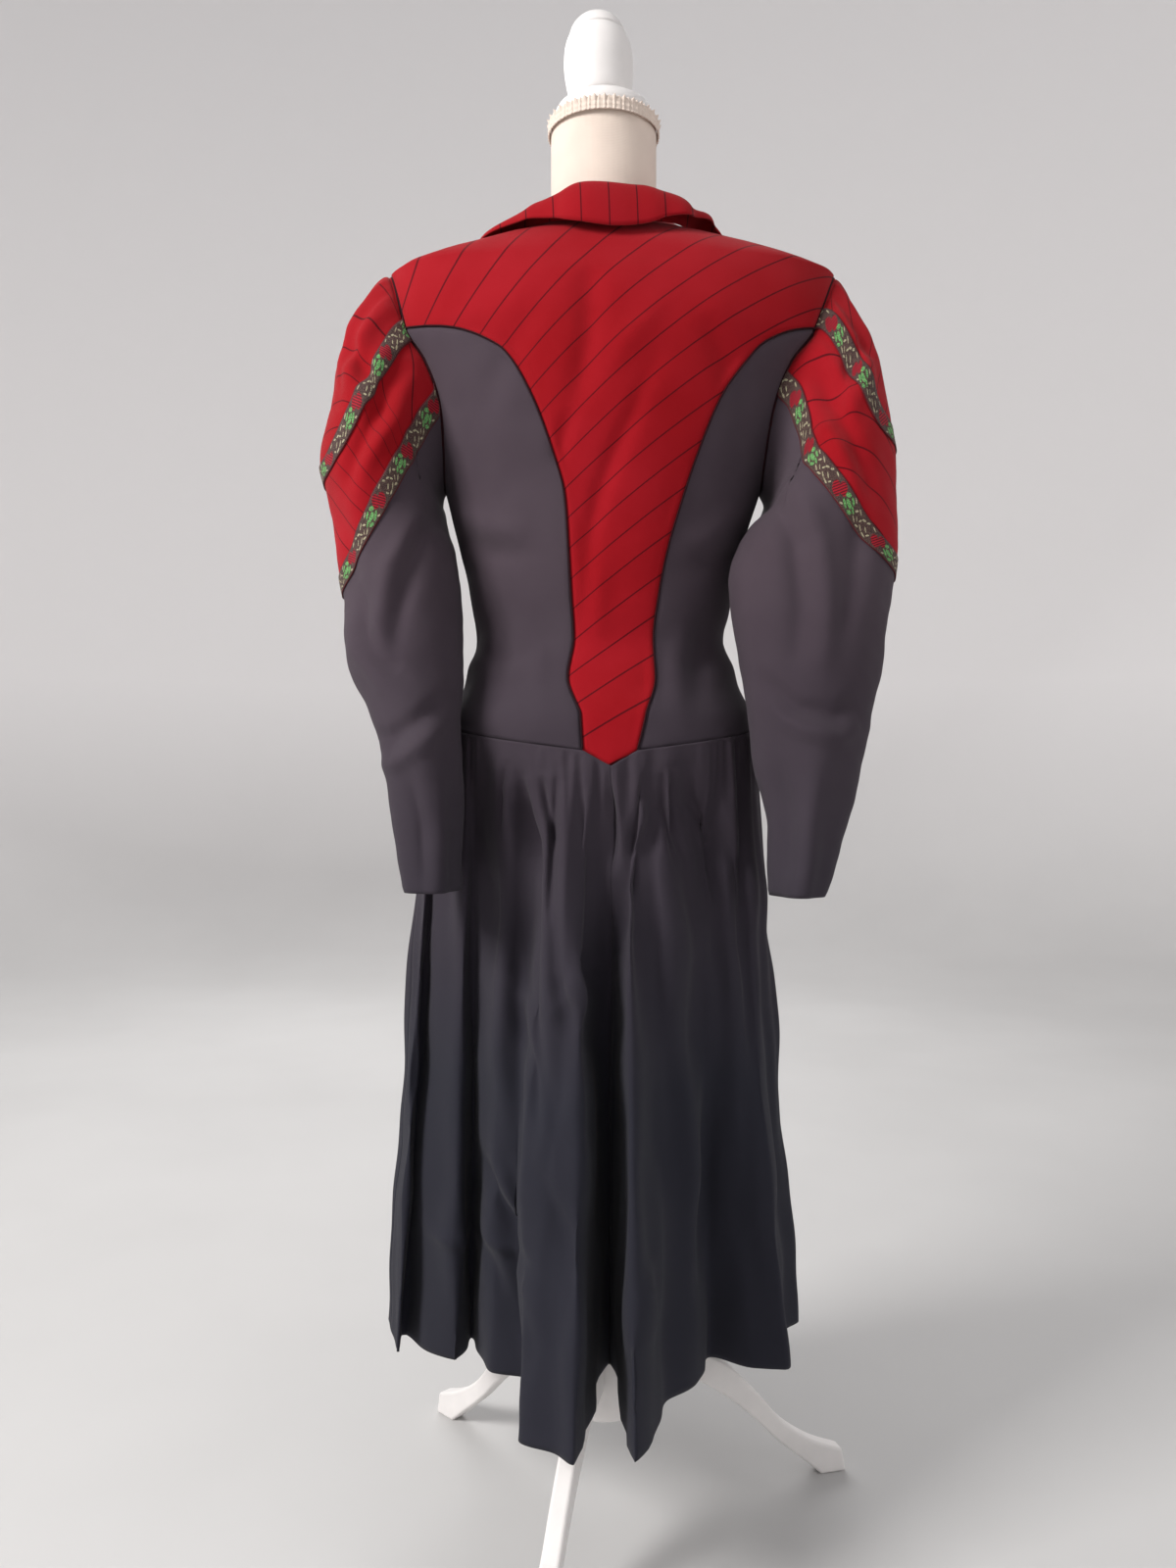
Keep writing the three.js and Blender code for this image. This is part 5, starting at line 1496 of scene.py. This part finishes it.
for number, turn in enumerate(LEG_ANGLES, 1):
    leg(f"leg_{number}", turn)
print("legs:", len(LEG_ANGLES))


# %% [markdown]
# ## Piping
# A dark cord is sewn into the seam between red and grey. A thicker dark tube just inside the
# armhole
# is painted shade: it stands for the shadow along the armhole seam. Each is a tube carried along
# its seam.

# %% Piping
def tube(name, path, radius, material, slot, sides=8):
    """A circle carried along a path of points, with its plane square to the path. It is drawn in
    to a point at both ends."""
    ahead = unit(np.gradient(path, axis=0))
    across = unit(np.cross(ahead, UP))
    across = np.where(np.linalg.norm(across, axis=1, keepdims=True) < 0.5, [1.0, 0, 0], across)
    upward = np.cross(across, ahead)
    angle = np.linspace(0, 2 * np.pi, sides, endpoint=False)[None, :, None]
    size = np.full(len(path), float(radius))
    size[[0, -1]] = 0.02
    ring = (path[:, None] + size[:, None, None]
            * (across[:, None] * np.cos(angle) + upward[:, None] * np.sin(angle)))
    piece = grid_mesh(name, ring, material, closed=True, outside=ring - path[:, None])
    return piece


for label, side in SIDES:
    for where, on_front in (("back", False), ("front", True)):
        seam = evenly(v_seam(side, on_front), 260)
        form = bodice(seam[:, 0], seam[:, 1])
        ways = normals_of(bodice, seam[:, 0], seam[:, 1])
        tube(f"piping_{where}_{label}", form + ways * 0.1, 0.9, DARK_PIPING_AND_SHADE, "red_cotton")
# painted shade: a dark tube under the armhole seam stands for the shadow along it
for label, side in SIDES:
    angle, height = armhole_place(np.linspace(0, 1, 240), side).T
    inside = bodice(angle, height) - 2.0 * normals_of(bodice, angle, height)
    tube(f"armhole_seam_{label}", inside, 2.2, DARK_PIPING_AND_SHADE, "red_cotton")
print("piping sewn in")

# %% [markdown]
# ## Front opening
# A strip closes the front edges, with six buttons. Each button is a turned disc with a raised rim
# and two crossed bars of thread.

# %% Placket and buttons
PLACKET_LIFT, PLACKET_TOP_GAP, PLACKET_HALF_WIDTH = 3.1, 0.014, 10
FRONT_WAIST = float(waist_height(180 + CENTRE_ANGLE))


def front_edge(share):
    """Angle and height of a place on the centre front, from the waist (0) to the neckline (1)."""
    return 180 + CENTRE_ANGLE * (1 - share), FRONT_WAIST + (NECKLINE_POINT - FRONT_WAIST) * share


centre, placket_height = front_edge(np.linspace(0, 1 - PLACKET_TOP_GAP, 160))
half_width = BODICE_RINGS(placket_height)[0]
reach = np.linspace(-1, 1, 13)[None, :]
placket_angle = centre[:, None] + reach * np.degrees(PLACKET_HALF_WIDTH / half_width)[:, None]
placket_level = np.maximum(placket_height[:, None], waist_height(placket_angle) + 2)
ways = normals_of(bodice, placket_angle, placket_level)
stitch_dip = 0.4 * np.exp(-(((np.abs(reach) - 0.8) / 0.09) ** 2))
edge_dip = 0.5 * smooth_step(np.abs(reach), 0.85, 1)
placket_points = bodice(placket_angle, placket_level) + ways * (
    PLACKET_LIFT - stitch_dip - edge_dip + unevenness(ways * 200, 40, 0.2, 11))[..., None]
placket = grid_mesh("front_placket_cloth", placket_points, RED_COTTON, outside=ways, wall=1.4,
                    fields={"stripe": front_stripes(1)(placket_points)})
stand_for(placket, "red_cotton", "front_placket")


def make_button_finish():
    """Dark moulded button: cloudy brown-black with a dull shine."""
    shader = Shader("dark_button", roughness=0.35, specular=0.5)
    cloudy = shader.noise(300.0, 4.0)
    base = shader.mix(cloudy.ramp(0.35, 0.7), rgb(34, 28, 30), rgb(58, 46, 46))
    return shader.finish(base, cloudy, strength=0.1, depth=0.0002)


DARK_BUTTON = make_button_finish()
BUTTON_PROFILE = rounded([(0, 0), (4.8, 0), (6, 1.0), (5.9, 1.9), (5.1, 2.6), (4.4, 2.3),
                          (3.8, 1.7), (0, 1.6)], 4)
BUTTON_COUNT = 6
THREAD_REACH, THREAD_HEIGHT, THREAD_BOW = 1.1, 1.6, 0.5


def button(number):
    """A turned disc laid on the placket, facing away from the body, with two thread bars."""
    angle, level = front_edge(np.array([2 * number - 1, 2 * number]) / (2 * BUTTON_COUNT))
    ways = normals_of(bodice, angle, level)
    way = unit(ways.sum(axis=0))
    seat = (bodice(angle, level) + ways * (PLACKET_LIFT + 0.3)).mean(axis=0)
    right = unit(np.cross(UP, way))
    up = np.cross(way, right)
    turn = np.linspace(0, 2 * np.pi, 40, endpoint=False)[None, :]
    radius, rise = BUTTON_PROFILE[:, :1], BUTTON_PROFILE[:, 1:]
    flat = radius[..., None] * (np.cos(turn)[..., None] * right + np.sin(turn)[..., None] * up)
    points = seat + flat + rise[..., None] * way
    piece = grid_mesh(f"button_{number}_turned", points, DARK_BUTTON, closed=True)
    stand_for(piece, "button", f"button_{number}")
    t = np.linspace(1, -1, 9)[:, None]
    arch = way * (THREAD_HEIGHT + THREAD_BOW * np.cos(np.pi / 2 * t))
    for bar, slant in enumerate((1, -1), 1):
        path = seat + THREAD_REACH * t * (right * slant + up) + arch
        tube(f"button_{number}_thread_{bar}", path, 0.28, DARK_PIPING_AND_SHADE, "button", sides=6)


for number in range(1, BUTTON_COUNT + 1):
    button(number)
print("buttons sewn on")

# %% [markdown]
# ## Studio
# A pale floor rises into a pale wall all round, so that every view has the same quiet ground. A
# large soft lamp stands on the left of the photograph, a weaker one fills from the right, and a
# third lights the hidden front.

# %% Studio
shader = Shader("studio_floor", roughness=0.95, specular=0.1)
floor_tone = shader.mix(shader.noise(1.6, 3.0).ramp(0.3, 0.8), rgb(196, 195, 194),
                        rgb(188, 187, 186))
# painted light and shade: the floor is painted darker where the key lamp lights it strongly, and
# the wall paler with height where the lamps don't reach
STUDIO = shader.finish(shader.mix(shader.height().ramp(-0.1, 1.2), floor_tone,
                                  rgb(240, 238, 238)))
STUDIO_RADIUS = 4700
profile = rounded([
    (0, 0), (800, 0), (1600, 0), (2400, 0), (3200, 0), (3800, 60), (4300, 300), (4600, 800),
    (STUDIO_RADIUS, 1500), (STUDIO_RADIUS, 7500),
], 8)
angle = np.linspace(0, 2 * np.pi, 96, endpoint=False)[None, :]
studio_points = stack(profile[:, :1] * np.cos(angle), profile[:, :1] * np.sin(angle),
                      profile[:, 1:] + 0 * angle) - POLE_PLACE
studio = grid_mesh("studio_floor", studio_points, STUDIO, closed=True,
                   outside=UP - studio_points / STUDIO_RADIUS)
studio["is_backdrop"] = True


def lamp(name, place, aim, size, power, colour=(1, 1, 1)):
    """A square lamp that faces a point."""
    data = bpy.data.lights.new(name, "AREA")
    data.size, data.energy, data.color = size, power, colour
    light = bpy.data.objects.new(name, data)
    light.location = place
    way = np.array(aim) - np.array(place)
    flat = math.hypot(way[0], way[1])
    light.rotation_euler = (math.atan2(flat, -way[2]), 0, math.atan2(-way[0], way[1]))
    bpy.context.scene.collection.objects.link(light)


lamp("key", (2.4, 1.5, 2.5), (0, 0, 0.9), 1.1, 120, (1.0, 0.985, 0.97))
lamp("fill", (-2.6, 2.2, 1.6), (0, 0, 0.8), 2.2, 14, (0.96, 0.98, 1.0))
lamp("front", (0.6, -3.0, 2.6), (0, 0, 0.9), 2.4, 60)
world = bpy.data.worlds.new("studio_air")
bpy.context.scene.world = world
world.use_nodes = True
world.node_tree.nodes["Background"].inputs["Color"].default_value = (0.93, 0.94, 0.96, 1)
world.node_tree.nodes["Background"].inputs["Strength"].default_value = 0.5

# %% Sizes
triangles = {
    piece.name: sum(len(face.vertices) - 2 for face in piece.data.polygons)
    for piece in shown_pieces()
}
print("grid triangles:", sum(triangles.values()))
